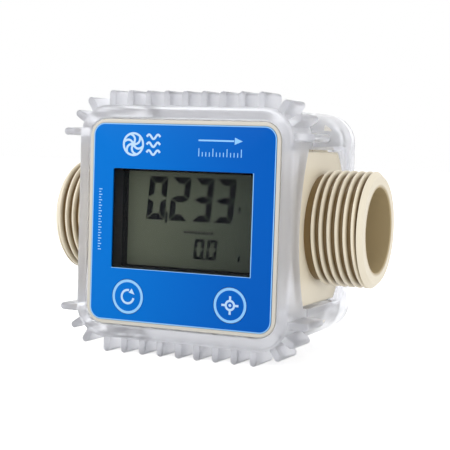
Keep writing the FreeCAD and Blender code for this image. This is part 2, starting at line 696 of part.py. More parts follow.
def make_key(name, side):
    """A key: the cap in the label's opening and its stem, as one piece, and the switch's plunger."""
    x = f"{side}*key_spread"
    body = new_body(f"{name}_key")
    pad(body, "XZ_Plane", LABEL_FRONT, LABEL_BACK, circle("key_radius", x, "-key_drop"))
    pad(body, "XZ_Plane", LABEL_BACK, PLUNGER_FRONT, circle("stem_radius", x, "-key_drop"))
    plunger = new_body(f"{name}_plunger")
    pad(plunger, "XZ_Plane", PLUNGER_FRONT, f"{SWITCH_FRONT} + plunger_root",
        circle("plunger_radius", x, "-key_drop"))


def make_reed_switches():
    """Two glass capsules behind the board that feel the rotor's magnets."""
    capsules = [cylinder_along_flow("reed_radius", "-reed_length/2", "reed_length/2",
                                    f"{FLOOR_FRONT} + reed_radius", f"{side}*reed_spread")
                for side in (-1, 1)]
    return group("reed_switches", *capsules)


def make_cover_screws():
    """Four pan head screws, hidden by the label."""
    body = DOC.addObject("PartDesign::Body", "Screw")
    tip = f"{HEAD_BACK} + screw_length"
    profile = outline(("0", HEAD_FRONT), ("head_radius", HEAD_FRONT), ("head_radius", HEAD_BACK),
                      ("screw_radius", HEAD_BACK), ("screw_radius", tip), ("0", tip))
    turned(body, "Revolution", profile, "V_Axis", ("screw_spread", "0"), "screw_spread")
    pocket(body, "XZ_Plane", HEAD_FRONT, f"{HEAD_FRONT} + head_tall/2",
           box("driver_half", "driver_wide/2", "screw_spread", "screw_spread"))
    across = reflected(body, Vector(1, 0, 0))
    return group("cover_screws", body, across, reflected(body, Vector(0, 0, 1)),
                 reflected(across, Vector(0, 0, 1)))


def make_battery(name, side):
    """One cell with its end contact, sprung contact, cap and cap seal, in the tube on this side."""
    centre = ("tube_back", f"{side}*tube_rise")
    axis_up = f"{side}*tube_rise"
    cell = new_body(f"{name}_battery")
    nub_root = f"({CELL_FRONT} - nub_tall)"
    turned(cell, "Revolution",
           outline((CELL_REAR, "0"), (CELL_FRONT, "0"), (CELL_FRONT, "nub_radius"), (nub_root, "nub_radius"),
                   (nub_root, "cell_radius"), (CELL_REAR, "cell_radius")),
           "H_Axis", ("0", "tube_back"), axis_up)
    plate = new_body(f"{name}_end_contact")
    pad(plate, "YZ_Plane", CELL_FRONT, TUBE_FLOOR, circle("contact_radius", *centre))
    leaf = new_body(f"{name}_spring_contact")
    root = f"({CAP_FACE} + contact_thick)"
    pad(leaf, "YZ_Plane", CAP_FACE, root, circle("contact_radius", *centre))
    start, bend, drop = "(tube_back - leaf_root)", "(tube_back + leaf_crest)", "(tube_back + leaf_end)"
    pad(leaf, "XY_Plane", f"{axis_up} - leaf_half", f"{axis_up} + leaf_half",
        outline((f"{root} - contact_thick", start), (root, start), (CELL_REAR, bend),
                (f"{CELL_REAR} - leaf_curl", drop), (f"{CELL_REAR} - leaf_curl - contact_thick", drop),
                (f"{CELL_REAR} - contact_thick", bend)))
    cap = new_body(f"{name}_battery_cap")
    flange_back = "(-tube_reach - seal_thick)"
    face = f"({flange_back} - cap_flange)"
    turned(cap, "Revolution",
           outline((face, "0"), (CAP_FACE, "0"), (CAP_FACE, CAP_RADIUS), (flange_back, CAP_RADIUS),
                   (flange_back, FLANGE_RADIUS), (face, FLANGE_RADIUS)),
           "H_Axis", ("0", "tube_back"), axis_up)
    pocket(cap, "YZ_Plane", face, f"{face} + 2*cap_flange",
           box("slot_half", "slot_wide/2", *centre))
    seal = new_body(f"{name}_cap_seal")
    pad(seal, "YZ_Plane", flange_back, "-tube_reach", circle(FLANGE_RADIUS, *centre),
        circle(CAP_RADIUS, *centre))


def make_rotor():
    """The turbine: a hub with helical blades, bored for its bushes and two magnets."""
    body = new_body("rotor")
    pad(body, "YZ_Plane", "-rotor_half", "rotor_half", circle("hub_radius"))
    sketch = new_sketch(body, "XY_Plane", "0")
    root, tip = "(hub_radius - blade_wide/2)", "(chamber - tip_gap)"
    start = "(-(blade_run + blade_wide)/2)"
    outline((start, root), (f"{start} + blade_wide", root), (f"{start} + blade_wide", tip),
            (start, tip))(sketch)
    blade = body.newObject("PartDesign::AdditiveHelix", "Blade")
    blade.Profile = sketch
    blade.ReferenceAxis = (origin_feature(body, "X_Axis"), [""])
    blade.Mode = "pitch-height-angle"
    blade.setExpression("Pitch", bound("blade_pitch"))
    blade.setExpression("Height", bound("blade_run"))
    DOC.recompute()
    polar(body, [blade], "blade_count")
    pocket(body, "YZ_Plane", "-rotor_half", "rotor_half", circle("bush_radius"))
    pocket(body, "YZ_Plane", "rotor_half - magnet_length", "rotor_half",
           circle("magnet_radius", "0", "magnet_orbit"), circle("magnet_radius", "0", "-magnet_orbit"))
    return body


def make_rotor_fittings():
    """Magnets and bushes that turn with the rotor, and the fixed shaft they turn on."""
    magnets = [cylinder_along_flow("magnet_radius", "rotor_half - magnet_length", "rotor_half",
                                   "0", f"{side}*magnet_orbit") for side in (-1, 1)]
    group("rotor_magnets", *magnets)
    bushes = []
    for start, end in (("-rotor_half", "-rotor_half + bush_length"),
                       ("rotor_half - bush_length", "rotor_half")):
        bush = DOC.addObject("PartDesign::Body", "Bush")
        pad(bush, "YZ_Plane", start, end, circle("bush_radius"), circle("shaft_radius + shaft_gap"))
        bushes.append(bush)
    group("rotor_bushes", *bushes)
    half = f"({SUPPORT_FACE} + shaft_seat)"
    node(cylinder_along_flow("shaft_radius", f"-{half}", half), "rotor_shaft")


def make_supports():
    """Two spiders that centre the shaft: rim, straight vanes and a hub with a blunt cone."""
    body = new_body("inlet_support")
    rim = ("-stop_place", "support_long - stop_place")
    pad(body, "YZ_Plane", *rim, circle(SUPPORT_RADIUS), circle(f"({SUPPORT_RADIUS} - support_rim)"))
    vane_half = f"(({SUPPORT_RADIUS} - support_rim/2)/2)"
    vane = pad(body, "YZ_Plane", *rim, box("vane_thick/2", vane_half, "0", vane_half))
    polar(body, [vane], "vane_count")
    pad(body, "YZ_Plane", "-stop_place", f"-{SUPPORT_FACE}", circle("hub_radius"))
    turned(body, "Revolution",
           outline(("-stop_place - nose_long", "0"), ("-stop_place", "0"),
                   ("-stop_place", "hub_radius"), ("-stop_place - nose_long", "nose_tip")))
    pocket(body, "YZ_Plane", f"-({SUPPORT_FACE} + shaft_seat)", f"-{SUPPORT_FACE}",
           circle("shaft_radius + shaft_gap/4"))
    node(reflected(body, Vector(1, 0, 0)), "outlet_support")


def make_retaining_ring():
    """The sprung ring that holds the cartridge against its stop."""
    body = new_body("retaining_ring")
    outer = "(chamber + clip_bite)"
    inner = f"({outer} - clip_wide)"
    span = ("-stop_place - clip_thick", "-stop_place")
    pad(body, "YZ_Plane", *span, circle(outer), circle(inner))
    pocket(body, "YZ_Plane", *span, box("clip_mouth", "clip_wide", "0", f"-({outer} - clip_wide/2)"))
    ear = pad(body, "YZ_Plane", *span,
              box("clip_wide/2", "clip_wide/2", "clip_mouth + clip_wide/2", f"-({inner} - ear_inset)"))
    hole = pocket(body, "YZ_Plane", *span,
                  circle("ear_hole", "clip_mouth + clip_wide/2", f"-({inner} - ear_inset)"))
    mirrored(body, [ear, hole], "XZ_Plane")
    return body


def fin(centre_x, centre_z, lean, root, tip):
    """A bumper fin with a round tip that leaves a centre at a lean from upright, in degrees."""
    along_x, along_z = f"sin({lean})", f"cos({lean})"

    def corner(reach, side):
        return (f"{centre_x} + ({reach})*{along_x} + {side}*fin_thick/2*{along_z}",
                f"{centre_z} + ({reach})*{along_z} - {side}*fin_thick/2*{along_x}")

    shoulder = f"{tip} - fin_tip + sqrt(fin_tip^2 - fin_thick^2/4)"
    return outline(corner(root, -1), corner(root, 1), (*corner(shoulder, 1), "fin_tip"),
                   corner(shoulder, -1))


def make_jacket():
    """The clear bumper jacket with a band of fins round its front."""
    body = new_body("jacket")
    pad(body, "XZ_Plane", "-half_depth", "half_depth",
        box("jacket_side", "jacket_top", corner="jacket_corner"))
    rounded(body, "jacket_round", lambda p: near(p.y, "half_depth"))
    rounded(body, "jacket_lead", lambda p: near(p.y, "-half_depth"), "Chamfer")
    band = ("fin_setback - half_depth", "fin_setback - half_depth + fin_deep")
    upright = pad(body, "XZ_Plane", *band,
                  fin("0", "0", "0", "jacket_top - fin_root", "jacket_top + fin_tall"))
    row = DOC.addObject("PartDesign::LinearPattern", "Row")
    row.Direction = (upright.Profile[0], ["H_Axis"])
    row.setExpression("Length", bound("fin_pitch*fin_pairs"))
    row.setExpression("Occurrences", bound("fin_pairs + 1"))
    mirrored_both(body, [upright], pattern=row)
    corner_x, corner_z = "(jacket_side - jacket_corner)", "(jacket_top - jacket_corner)"
    fan = [fin(corner_x, corner_z, lean, "jacket_corner - fin_root", "jacket_corner + fan_tall")
           for lean in ("fan_first", "(fan_first + fan_step)")]
    level = fin("0", "side_fin_rise", "90", "jacket_side - 2*fin_root", "jacket_side + side_fin_tall")
    corner_fins = pad(body, "XZ_Plane", *band, *fan, level)
    mirrored_both(body, [corner_fins])
    pocket(body, "XZ_Plane", "-half_depth", "half_depth - jacket_back",
           box("inner_half", "inner_half", corner=INNER_CORNER))
    pocket(body, "YZ_Plane", "-jacket_side - side_fin_tall", "jacket_side + side_fin_tall",
           cheek("opening_gap"))
    return body


make_main_body()
make_front_cover()
make_cover_gasket()
make_label()
make_window_lens()
make_display_frame()
make_lcd_panel()
make_connector_strips()
make_circuit_board()
make_board_parts()
make_key_switches()
make_key("reset", -1)
make_key("cal", 1)
make_reed_switches()
make_cover_screws()
make_battery("upper", 1)
make_battery("lower", -1)
make_rotor()
make_rotor_fittings()
make_supports()
make_retaining_ring()
make_jacket()
DOC.recompute()

for item in DOC.Objects:
    if {"Invalid", "Error"} & set(item.State):
        raise RuntimeError(f"{item.Label} ({item.Name}) failed: {item.State}")
os.makedirs("parts", exist_ok=True)
for item in NODES:
    shape = item.Shape
    if shape.isNull() or not shape.isValid():
        raise RuntimeError(f"{item.Label} has no valid shape")
    shape.exportStep(f"parts/{item.Label}.step")
    print(f"{item.Label}: {len(shape.Solids)} solid(s), {shape.Volume:.1f} mm3")
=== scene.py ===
"""Looks of a turbine flow meter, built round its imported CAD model.

Lengths are in metres, in the model's own frame: +X follows the flow from inlet to outlet, the
display faces -Y and +Z is up. Each sub-assembly is a class that builds its surfaces with numpy
and dresses them in its finishes.
"""
import logging
import math
from collections.abc import Callable
from dataclasses import dataclass
from enum import Enum
from functools import cache

import bpy
import numpy as np
from mathutils import Matrix, Vector

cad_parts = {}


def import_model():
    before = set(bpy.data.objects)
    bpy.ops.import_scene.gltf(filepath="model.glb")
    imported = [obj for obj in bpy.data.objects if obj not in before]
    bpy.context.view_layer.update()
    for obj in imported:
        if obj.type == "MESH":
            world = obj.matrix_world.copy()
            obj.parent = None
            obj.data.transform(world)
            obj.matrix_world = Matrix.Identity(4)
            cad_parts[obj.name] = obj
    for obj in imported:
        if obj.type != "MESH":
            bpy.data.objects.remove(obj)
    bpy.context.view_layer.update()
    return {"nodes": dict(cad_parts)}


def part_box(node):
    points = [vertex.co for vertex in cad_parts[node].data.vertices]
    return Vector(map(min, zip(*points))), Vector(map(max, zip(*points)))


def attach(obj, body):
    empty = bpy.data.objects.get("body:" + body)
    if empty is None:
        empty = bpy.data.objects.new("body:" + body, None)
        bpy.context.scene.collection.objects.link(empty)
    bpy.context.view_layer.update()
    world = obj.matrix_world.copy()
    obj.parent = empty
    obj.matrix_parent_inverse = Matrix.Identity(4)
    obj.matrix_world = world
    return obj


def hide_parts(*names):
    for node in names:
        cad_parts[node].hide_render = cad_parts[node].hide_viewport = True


LOG = logging.getLogger("flow_meter")
MM = 0.001
FULL_TURN = 2 * math.pi
SHARP = math.radians(32)
PRINT = 0.03 * MM
SUNK = 0.01 * MM
BEYOND = 1.0 * MM
# Pointiness where the painted shade in hollows starts, and where it is full
FLAT, HOLLOW = 0.5, 0.42
Color = tuple[float, float, float, float]
WHITE: Color = (1.0, 1.0, 1.0, 1.0)
Source = float | Color | bpy.types.NodeSocket


def shade(red: int, green: int, blue: int) -> Color:
    """A display colour of 0 to 255 as the linear colour that a shader reads.

    Args:
        red: level of 0 to 255.
        green: level of 0 to 255.
        blue: level of 0 to 255.
    Returns:
        The opaque colour.
    """
    def linear(level: int) -> float:
        """One channel of the colour: a straight line near black, then a power of 2.4."""
        part = level / 255
        return part / 12.92 if part <= 0.04045 else ((part + 0.055) / 1.055) ** 2.4
    return (linear(red), linear(green), linear(blue), 1.0)


class Axis(Enum):
    """An axis of the model's frame."""
    X = 0
    Y = 1
    Z = 2


class Join(Enum):
    """How a Boolean puts two solids together."""
    UNION = "UNION"
    CUT = "DIFFERENCE"


# ---------------------------------------------------------------- surfaces

@dataclass
class Solid:
    """A closed surface: points (N, 3), quads (F, 4) and triangles (T, 3) that face outwards."""
    points: np.ndarray
    quads: np.ndarray
    triangles: np.ndarray

    def volume(self) -> float:
        """Signed volume: a third of the sum of corner a over cross product of b and c.

        Returns:
            The volume in cubic metres, below 0 where the faces point inwards.
        """
        halves = np.concatenate([self.quads[:, [0, 1, 2]], self.quads[:, [0, 2, 3]], self.triangles])
        a, b, c = (self.points[halves[:, k]] for k in range(3))
        return float(np.einsum("ij,ij->", a, np.cross(b, c)) / 6)

    def outward(self) -> "Solid":
        """The same surface with its faces turned outwards.

        Returns:
            This solid, or one with its faces turned round.
        """
        if self.volume() >= 0:
            return self
        return Solid(self.points, self.quads[:, ::-1], self.triangles[:, ::-1])

    def mirrored(self, axis: Axis) -> "Solid":
        """The mirror image through the origin across one axis.

        Args:
            axis: the axis whose sign changes.
        Returns:
            The mirrored solid.
        """
        points = self.points.copy()
        points[:, axis.value] *= -1
        return Solid(points, self.quads, self.triangles).outward()

    @staticmethod
    def joined(solids: list["Solid"]) -> "Solid":
        """Separate solids as one set of arrays.

        Args:
            solids: the solids, which share no points.
        Returns:
            One solid with all their points and faces.
        """
        starts = np.cumsum([0] + [len(solid.points) for solid in solids[:-1]])
        return Solid(
            np.concatenate([solid.points for solid in solids]),
            np.concatenate([solid.quads + start for solid, start in zip(solids, starts)]),
            np.concatenate([solid.triangles + start for solid, start in zip(solids, starts)]))


def ring_quads(rows: int, columns: int, closed: bool) -> np.ndarray:
    """Faces of a grid whose rows are closed rings.

    Args:
        rows: number of rings.
        columns: points in each ring.
        closed: whether the last ring joins the first.
    Returns:
        Quads (F, 4): each joins points k and k+1 of one ring to those of the next.
    """
    row = np.arange(rows if closed else rows - 1)[:, None] * columns
    above = (row + columns) % (rows * columns)
    here = np.arange(columns)[None, :]
    after = (here + 1) % columns
    return np.stack([row + here, row + after, above + after, above + here], -1).reshape(-1, 4)


def stacked(rings: np.ndarray) -> Solid:
    """A solid from rings (R, C, 3), with each end ring closed by a fan about its own mean point.

    Args:
        rings: points of the rings, from one end to the other.
    Returns:
        The closed solid.
    """
    rows, columns = rings.shape[:2]
    points = np.concatenate([rings.reshape(-1, 3), rings[[0, -1]].mean(axis=1)])
    here = np.arange(columns)
    after = (here + 1) % columns
    last = (rows - 1) * columns
    first_fan = np.stack([after, here, np.full(columns, rows * columns)], -1)
    last_fan = np.stack([last + here, last + after, np.full(columns, rows * columns + 1)], -1)
    fans = np.concatenate([first_fan, last_fan])
    return Solid(points, ring_quads(rows, columns, False), fans).outward()


def looped(rings: np.ndarray) -> Solid:
    """A solid from rings (R, C, 3) whose last ring joins the first, such as a band or a tube wall.

    Args:
        rings: points of the rings in their order.
    Returns:
        The closed solid.
    """
    rows, columns = rings.shape[:2]
    quads = ring_quads(rows, columns, True)
    return Solid(rings.reshape(-1, 3), quads, np.empty((0, 3), int)).outward()


def rounded_rectangle(half_wide: float, half_tall: float, corner: float, steps: int = 8) -> np.ndarray:
    """Outline (4 (steps + 1), 2), anticlockwise.

    Four quarter circles of the corner radius about centres that lie that radius inside both
    sides, joined by the straight sides.

    Args:
        half_wide: half of its width.
        half_tall: half of its height.
        corner: radius of its corners.
        steps: facets of each corner.
    Returns:
        The outline.
    """
    angle = np.linspace(0, math.pi / 2, steps + 1)[None, :] + math.pi / 2 * np.arange(4)[:, None]
    sign_x = np.array([1, -1, -1, 1])[:, None]
    sign_z = np.array([1, 1, -1, -1])[:, None]
    x = sign_x * (half_wide - corner) + corner * np.cos(angle)
    z = sign_z * (half_tall - corner) + corner * np.sin(angle)
    return np.stack([x, z], -1).reshape(-1, 2)


def polar(reach: float | np.ndarray, angle: float | np.ndarray) -> np.ndarray:
    """Points (..., 2): reach times cosine and sine of an angle in radians."""
    return np.stack([reach * np.cos(angle), reach * np.sin(angle)], -1)


def circle(radius: float, count: int = 64, x: float = 0.0, z: float = 0.0) -> np.ndarray:
    """Outline (count, 2) at evenly spaced angles about (x, z)."""
    return np.array([x, z]) + polar(radius, np.linspace(0, FULL_TURN, count, endpoint=False))


def facing_front(outline: np.ndarray, y: float) -> np.ndarray:
    """An (x, z) outline as a ring at one depth."""
    return np.stack([outline[:, 0], np.full(len(outline), y), outline[:, 1]], -1)


def facing_side(outline: np.ndarray, x: float) -> np.ndarray:
    """A (y, z) outline as a ring at one place along the flow."""
    return np.stack([np.full(len(outline), x), outline[:, 0], outline[:, 1]], -1)


def rounded_square(half: float, corner: float, y: float, steps: int = 8) -> np.ndarray:
    """A square with rounded corners as a ring at one depth."""
    return facing_front(rounded_rectangle(half, half, corner, steps), y)


def rounded_edge(ring: Callable[[float, float], np.ndarray], face: float, across: float, along: float,
                 steps: int = 4) -> list[np.ndarray]:
    """Rings of a rounded edge, from the side wall to the end face.

    A ring moves inwards by across times (1 - cosine) and away from the face by along times
    (1 - sine) of an angle that goes from 0 on the wall to a right angle on the face.

    Args:
        ring: function of an inset and a place that gives the outline there, moved inwards.
        face: place of the end face.
        across: radius of the inset; below 0 the edge flares outwards.
        along: radius towards the wall; below 0 the wall lies on the lower side of the face.
        steps: facets of the edge.
    Returns:
        The rings.
    """
    angles = np.linspace(0, math.pi / 2, steps + 1)
    return [ring(across * (1 - math.cos(a)), face + along * (1 - math.sin(a))) for a in angles]


def ribbon(path: np.ndarray, wide: float, front: float, back: float, closed: bool = False) -> Solid:
    """A flat printed line of even width along an (x, z) path.

    Each point is moved by half the width to both sides along the path's normal there, and the
    four corners front and back make one ring.

    Args:
        path: points (N, 2) of its middle line.
        wide: its width.
        front: depth of its face.
        back: depth of its back.
        closed: whether its end joins its start.
    Returns:
        The closed solid.
    """
    step = np.roll(path, -1, 0) - np.roll(path, 1, 0) if closed else np.gradient(path, axis=0)
    normal = np.stack([-step[:, 1], step[:, 0]], -1) / np.linalg.norm(step, axis=1)[:, None]
    left, right = path + normal * wide / 2, path - normal * wide / 2
    rings = np.stack([facing_front(left, back), facing_front(left, front),
                      facing_front(right, front), facing_front(right, back)], 1)
    return looped(rings) if closed else stacked(rings)


def patch(outline: np.ndarray, front: float, back: float) -> Solid:
    """A flat block inside a star-shaped (x, z) outline."""
    return stacked(np.stack([facing_front(outline, back), facing_front(outline, front)]))


def rod(outline: np.ndarray, start: float, end: float) -> Solid:
    """A straight rod along the flow with a star-shaped (y, z) outline."""
    return stacked(np.stack([facing_side(outline, start), facing_side(outline, end)]))


def smooth(mesh: bpy.types.Mesh) -> None:
    """Shade a mesh smooth and mark the edges that turn by more than SHARP.

    Args:
        mesh: the mesh.
    """
    mesh.polygons.foreach_set("use_smooth", np.ones(len(mesh.polygons), bool))
    mesh.set_sharp_from_angle(angle=SHARP)
    mesh.update()


def new_object(name: str, solid: Solid) -> bpy.types.Object:
    """A mesh object at the origin, with its place in its mesh.

    Args:
        name: name of the object and its mesh.
        solid: its surface.
    Returns:
        The object, linked to the scene.
    """
    mesh = bpy.data.meshes.new(name)
    mesh.from_pydata(solid.points.tolist(), [], solid.quads.tolist() + solid.triangles.tolist())
    smooth(mesh)
    shape = bpy.data.objects.new(name, mesh)
    bpy.context.scene.collection.objects.link(shape)
    return shape


def combine(target: bpy.types.Object, solid: Solid, how: Join) -> None:
    """Unite a solid with an object's mesh or cut it out, and keep the result as the mesh.

    Args:
        target: the object that changes.
        solid: what is joined or cut out.
        how: the kind of join.
    """
    tool = new_object("tool", solid)
    modifier = target.modifiers.new("combine", "BOOLEAN")
    modifier.operation = how.value
    modifier.solver = "EXACT"
    modifier.object = tool
    graph = bpy.context.evaluated_depsgraph_get()
    mesh = bpy.data.meshes.new_from_object(target.evaluated_get(graph))
    target.modifiers.clear()
    target.data = mesh
    bpy.data.objects.remove(tool)
    smooth(mesh)


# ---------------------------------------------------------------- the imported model

@dataclass(frozen=True)
class Box:
    """Where a CAD node lies."""
    low: Vector
    high: Vector

    @staticmethod
    def of(node: str) -> "Box":
        """The box of one node at rest."""
        return Box(*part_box(node))

    @property
    def middle(self) -> Vector:
        """The centre of the box."""
        return (self.low + self.high) / 2

    @property
    def half(self) -> Vector:
        """Half its size along each axis."""
        return (self.high - self.low) / 2


# ---------------------------------------------------------------- shader nodes

class Graph:
    """A node tree, with the steps that effects, finishes and surroundings are wired from."""

    def __init__(self, tree: bpy.types.NodeTree) -> None:
        """Work on a tree."""
        self.tree = tree

    def feed(self, entry: bpy.types.NodeSocket, source: Source) -> None:
        """Link a socket to an input, or set the input to a constant.

        Args:
            entry: the input.
            source: the socket or the constant.
        """
        if isinstance(source, bpy.types.NodeSocket):
            self.tree.links.new(source, entry)
        else:
            entry.default_value = source

    def node(self, kind: str, sources: dict[str | int, Source] | None = None,
             **settings: str | bool | bpy.types.NodeTree) -> bpy.types.Node:
        """Add a shader node.

        Args:
            kind: its type without the leading ShaderNode.
            sources: what its inputs read, by name or place.
            settings: its own settings, made before the inputs are fed.
        Returns:
            The node.
        """
        node = self.tree.nodes.new("ShaderNode" + kind)
        for label, setting in settings.items():
            setattr(node, label, setting)
        for label, source in (sources or {}).items():
            self.feed(node.inputs[label], source)
        return node

    def math(self, operation: str, *sources: Source, clamp: bool = False) -> bpy.types.NodeSocket:
        """One step of arithmetic."""
        step = self.node("Math", dict(enumerate(sources)), operation=operation, use_clamp=clamp)
        return step.outputs[0]

    def spread(self, source: Source, start: Source, end: Source, first: float = 0.0, last: float = 1.0,
               curve: str = "LINEAR") -> bpy.types.NodeSocket:
        """A number that goes from the first to the last while its source goes from start to end."""
        sources = {"Value": source, "From Min": start, "From Max": end, "To Min": first, "To Max": last}
        return self.node("MapRange", sources, interpolation_type=curve).outputs["Result"]

    def mixed(self, first: Source, last: Source, mask: Source) -> bpy.types.NodeSocket:
        """The first colour where the mask is 0 and the last where it is 1."""
        sources = {"A": first, "B": last, "Factor": mask}
        return self.node("Mix", sources, data_type="RGBA").outputs["Result"]


Sockets = dict[str, bpy.types.NodeSocket]


@dataclass(frozen=True)
class Effect:
    """A node group that more than one finish uses, built the first time it is placed.

    Its inputs and outputs are kinds of socket by name. Its wiring gets a graph and the inputs,
    and returns what the outputs read.
    """
    name: str
    inputs: dict[str, str]
    outputs: dict[str, str]
    wiring: Callable[[Graph, Sockets], Sockets]

    def tree(self) -> bpy.types.ShaderNodeTree:
        """The group, found by its name or built.

        Returns:
            The node group.
        """
        tree = bpy.data.node_groups.get(self.name)
        if tree is None:
            tree = bpy.data.node_groups.new(self.name, "ShaderNodeTree")
            for direction, sockets in (("INPUT", self.inputs), ("OUTPUT", self.outputs)):
                for label, kind in sockets.items():
                    tree.interface.new_socket(label, in_out=direction, socket_type="NodeSocket" + kind)
            entry, leave = tree.nodes.new("NodeGroupInput"), tree.nodes.new("NodeGroupOutput")
            for label, source in self.wiring(Graph(tree), entry.outputs).items():
                tree.links.new(source, leave.inputs[label])
        return tree


def drifting_tone(graph: Graph, given: Sockets) -> Sockets:
    """The colour times 1 plus or minus the amount, by a slow noise.

    Args:
        graph: the tree of the group.
        given: its inputs.
    Returns:
        What its outputs read.
    """
    noise = graph.node("TexNoise", {"Vector": given["Vector"], "Scale": given["Scale"], "Detail": 3.0})
    swing = graph.math("SUBTRACT", noise.outputs["Fac"], 0.5)
    swing = graph.math("MULTIPLY_ADD", swing, given["Amount"], 1.0)
    tint = graph.node("VectorMath", {0: given["Color"], "Scale": swing}, operation="SCALE")
    return {"Color": tint.outputs[0]}


def mould_grain(graph: Graph, given: Sockets) -> Sockets:
    """A noise height, and the roughness plus or minus the spread, which follows that noise.

    Args:
        graph: the tree of the group.
        given: its inputs.
    Returns:
        What its outputs read.
    """
    noise = graph.node("TexNoise", {"Vector": given["Vector"], "Scale": given["Scale"], "Detail": 2.0})
    height = noise.outputs["Fac"]
    around = graph.math("SUBTRACT", height, 0.5)
    roughness = graph.math("MULTIPLY_ADD", around, given["Spread"], given["Roughness"], clamp=True)
    return {"Height": height, "Roughness": roughness}


def painted_hollow_shade(graph: Graph, given: Sockets) -> Sockets:
    """The crest's colour, mixed with the root's darker colour as painted shade where a point lies in a
    hollow.

    Args:
        graph: the tree of the group.
        given: its inputs.
    Returns:
        What its outputs read.
    """
    hollow = graph.spread(graph.node("NewGeometry").outputs["Pointiness"], FLAT, HOLLOW)
    mask = graph.math("MULTIPLY", hollow, given["Amount"])
    return {"Color": graph.mixed(given["Crest"], given["Root"], mask)}


def distance_mask(graph: Graph, given: Sockets) -> Sockets:
    """1 up to the inner distance from the flow axis, and 0 from the outer one on.

    It is also 0 where a point lies further along the axis than the limit.

    Args:
        graph: the tree of the group.
        given: its inputs.
    Returns:
        What its outputs read.
    """
    place = graph.node("SeparateXYZ", {0: given["Vector"]}).outputs
    across = graph.node("CombineXYZ", {"Y": place["Y"], "Z": place["Z"]}).outputs[0]
    distance = graph.node("VectorMath", {0: across}, operation="LENGTH").outputs["Value"]
    near = graph.spread(distance, given["Inner"], given["Outer"], 1.0, 0.0)
    within = graph.math("LESS_THAN", graph.math("ABSOLUTE", place["X"]), given["Limit"])
    return {"Mask": graph.math("MULTIPLY", near, within)}


TONE_DRIFT = Effect(
    "tone_drift", {"Vector": "Vector", "Color": "Color", "Scale": "Float", "Amount": "Float"},
    {"Color": "Color"}, drifting_tone)
FINE_GRAIN = Effect(
    "fine_grain", {"Vector": "Vector", "Scale": "Float", "Roughness": "Float", "Spread": "Float"},
    {"Height": "Float", "Roughness": "Float"}, mould_grain)
# Painted shade: darkens the crest colour where a point lies in a hollow.
CREST_AND_PAINTED_SHADE = Effect(
    "crest_and_painted_shade", {"Crest": "Color", "Root": "Color", "Amount": "Float"},
    {"Color": "Color"}, painted_hollow_shade)
# Places the pipe's painted shade by distance from the flow axis.
TURNED_MASK = Effect(
    "turned_mask", {"Vector": "Vector", "Inner": "Float", "Outer": "Float", "Limit": "Float"},
    {"Mask": "Float"}, distance_mask)


class Shader(Graph):
    """A material's graph round its Principled shader."""

    def __init__(self, name: str) -> None:
        """Start a material whose patterns read Object coordinates.

        Args:
            name: name of the material.
        """
        self.material = bpy.data.materials.new(name)
        self.material.use_nodes = True
        super().__init__(self.material.node_tree)
        self.principled = self.tree.nodes["Principled BSDF"]
        self.place = self.node("TexCoord").outputs["Object"]

    def set(self, **sources: Source) -> None:
        """Feed the Principled shader; an underscore in a name stands for a space."""
        for label, source in sources.items():
            self.feed(self.principled.inputs[label.replace("_", " ")], source)

    def effect(self, effect: Effect, **sources: Source) -> Sockets:
        """The outputs of a shared effect, placed with this finish's own values.

        Args:
            effect: the shared effect.
            sources: what its inputs read.
        Returns:
            Its outputs by name.
        """
        if "Vector" in effect.inputs:
            sources["Vector"] = self.place
        return self.node("Group", sources, node_tree=effect.tree()).outputs

    def ramp(self, axis: Axis, start: float, end: float, first: float = 0.0, last: float = 1.0
             ) -> bpy.types.NodeSocket:
        """A number that goes smoothly from the first to the last between two places on an axis."""
        place = self.node("SeparateXYZ", {0: self.place}).outputs[axis.value]
        return self.spread(place, start, end, first, last, "SMOOTHSTEP")


# ---------------------------------------------------------------- finishes

@dataclass(frozen=True)
class Finish:
    """Plain plastic, resin, rubber or lacquer: a tone that drifts slowly, and a fine grain.

    Drift and grain give the scale of their noise and how far it goes: the drift as a share of
    the colour, the grain in roughness. The height is how high the grain stands, in metres.
    """
    name: str
    color: Color
    roughness: float = 0.5
    specular: float = 0.5
    metallic: float = 0.0
    transmission: float = 0.0
    bend: float = 1.5
    drift: tuple[float, float] = (160.0, 0.12)
    grain: tuple[float, float] = (2200.0, 0.16)
    height: float = 0.012 * MM

    def tone(self, shader: Shader) -> Source:
        """The colour before it drifts."""
        return self.color

    def polish(self, shader: Shader) -> Source:
        """The roughness before the grain."""
        return self.roughness

    @cache
    def material(self) -> bpy.types.Material:
        """The material, built the first time it is asked for.

        Returns:
            The material.
        """
        shader = Shader(self.name)
        scale, amount = self.drift
        drift = shader.effect(TONE_DRIFT, Color=self.tone(shader), Scale=scale, Amount=amount)
        scale, spread = self.grain
        grain = shader.effect(FINE_GRAIN, Roughness=self.polish(shader), Scale=scale, Spread=spread)
        bump = shader.node("Bump", {"Distance": self.height, "Height": grain["Height"]})
        shader.set(Base_Color=drift["Color"], Roughness=grain["Roughness"],
                   Normal=bump.outputs["Normal"], Specular_IOR_Level=self.specular,
                   Metallic=self.metallic, Transmission_Weight=self.transmission, IOR=self.bend)
        return shader.material


@dataclass(frozen=True)
class MouldedPlastic(Finish):
    """Satin moulded plastic with painted shade in its roots and hollows."""
    # The root colour is painted shade, mixed in where a point lies in a hollow.
    root: Color = shade(122, 104, 72)
    root_shade_amount: float = 0.85
    roughness: float = 0.42
    specular: float = 0.45
    drift: tuple[float, float] = (60.0, 0.05)
    grain: tuple[float, float] = (2600.0, 0.12)
    height: float = 0.01 * MM

    def tone(self, shader: Shader) -> Source:
        """The colour, mixed with the darker root colour as painted shade where a point lies in a
        hollow.
        """
        mixed = shader.effect(CREST_AND_PAINTED_SHADE, Crest=self.color, Root=self.root, Amount=self.root_shade_amount)
        return mixed["Color"]


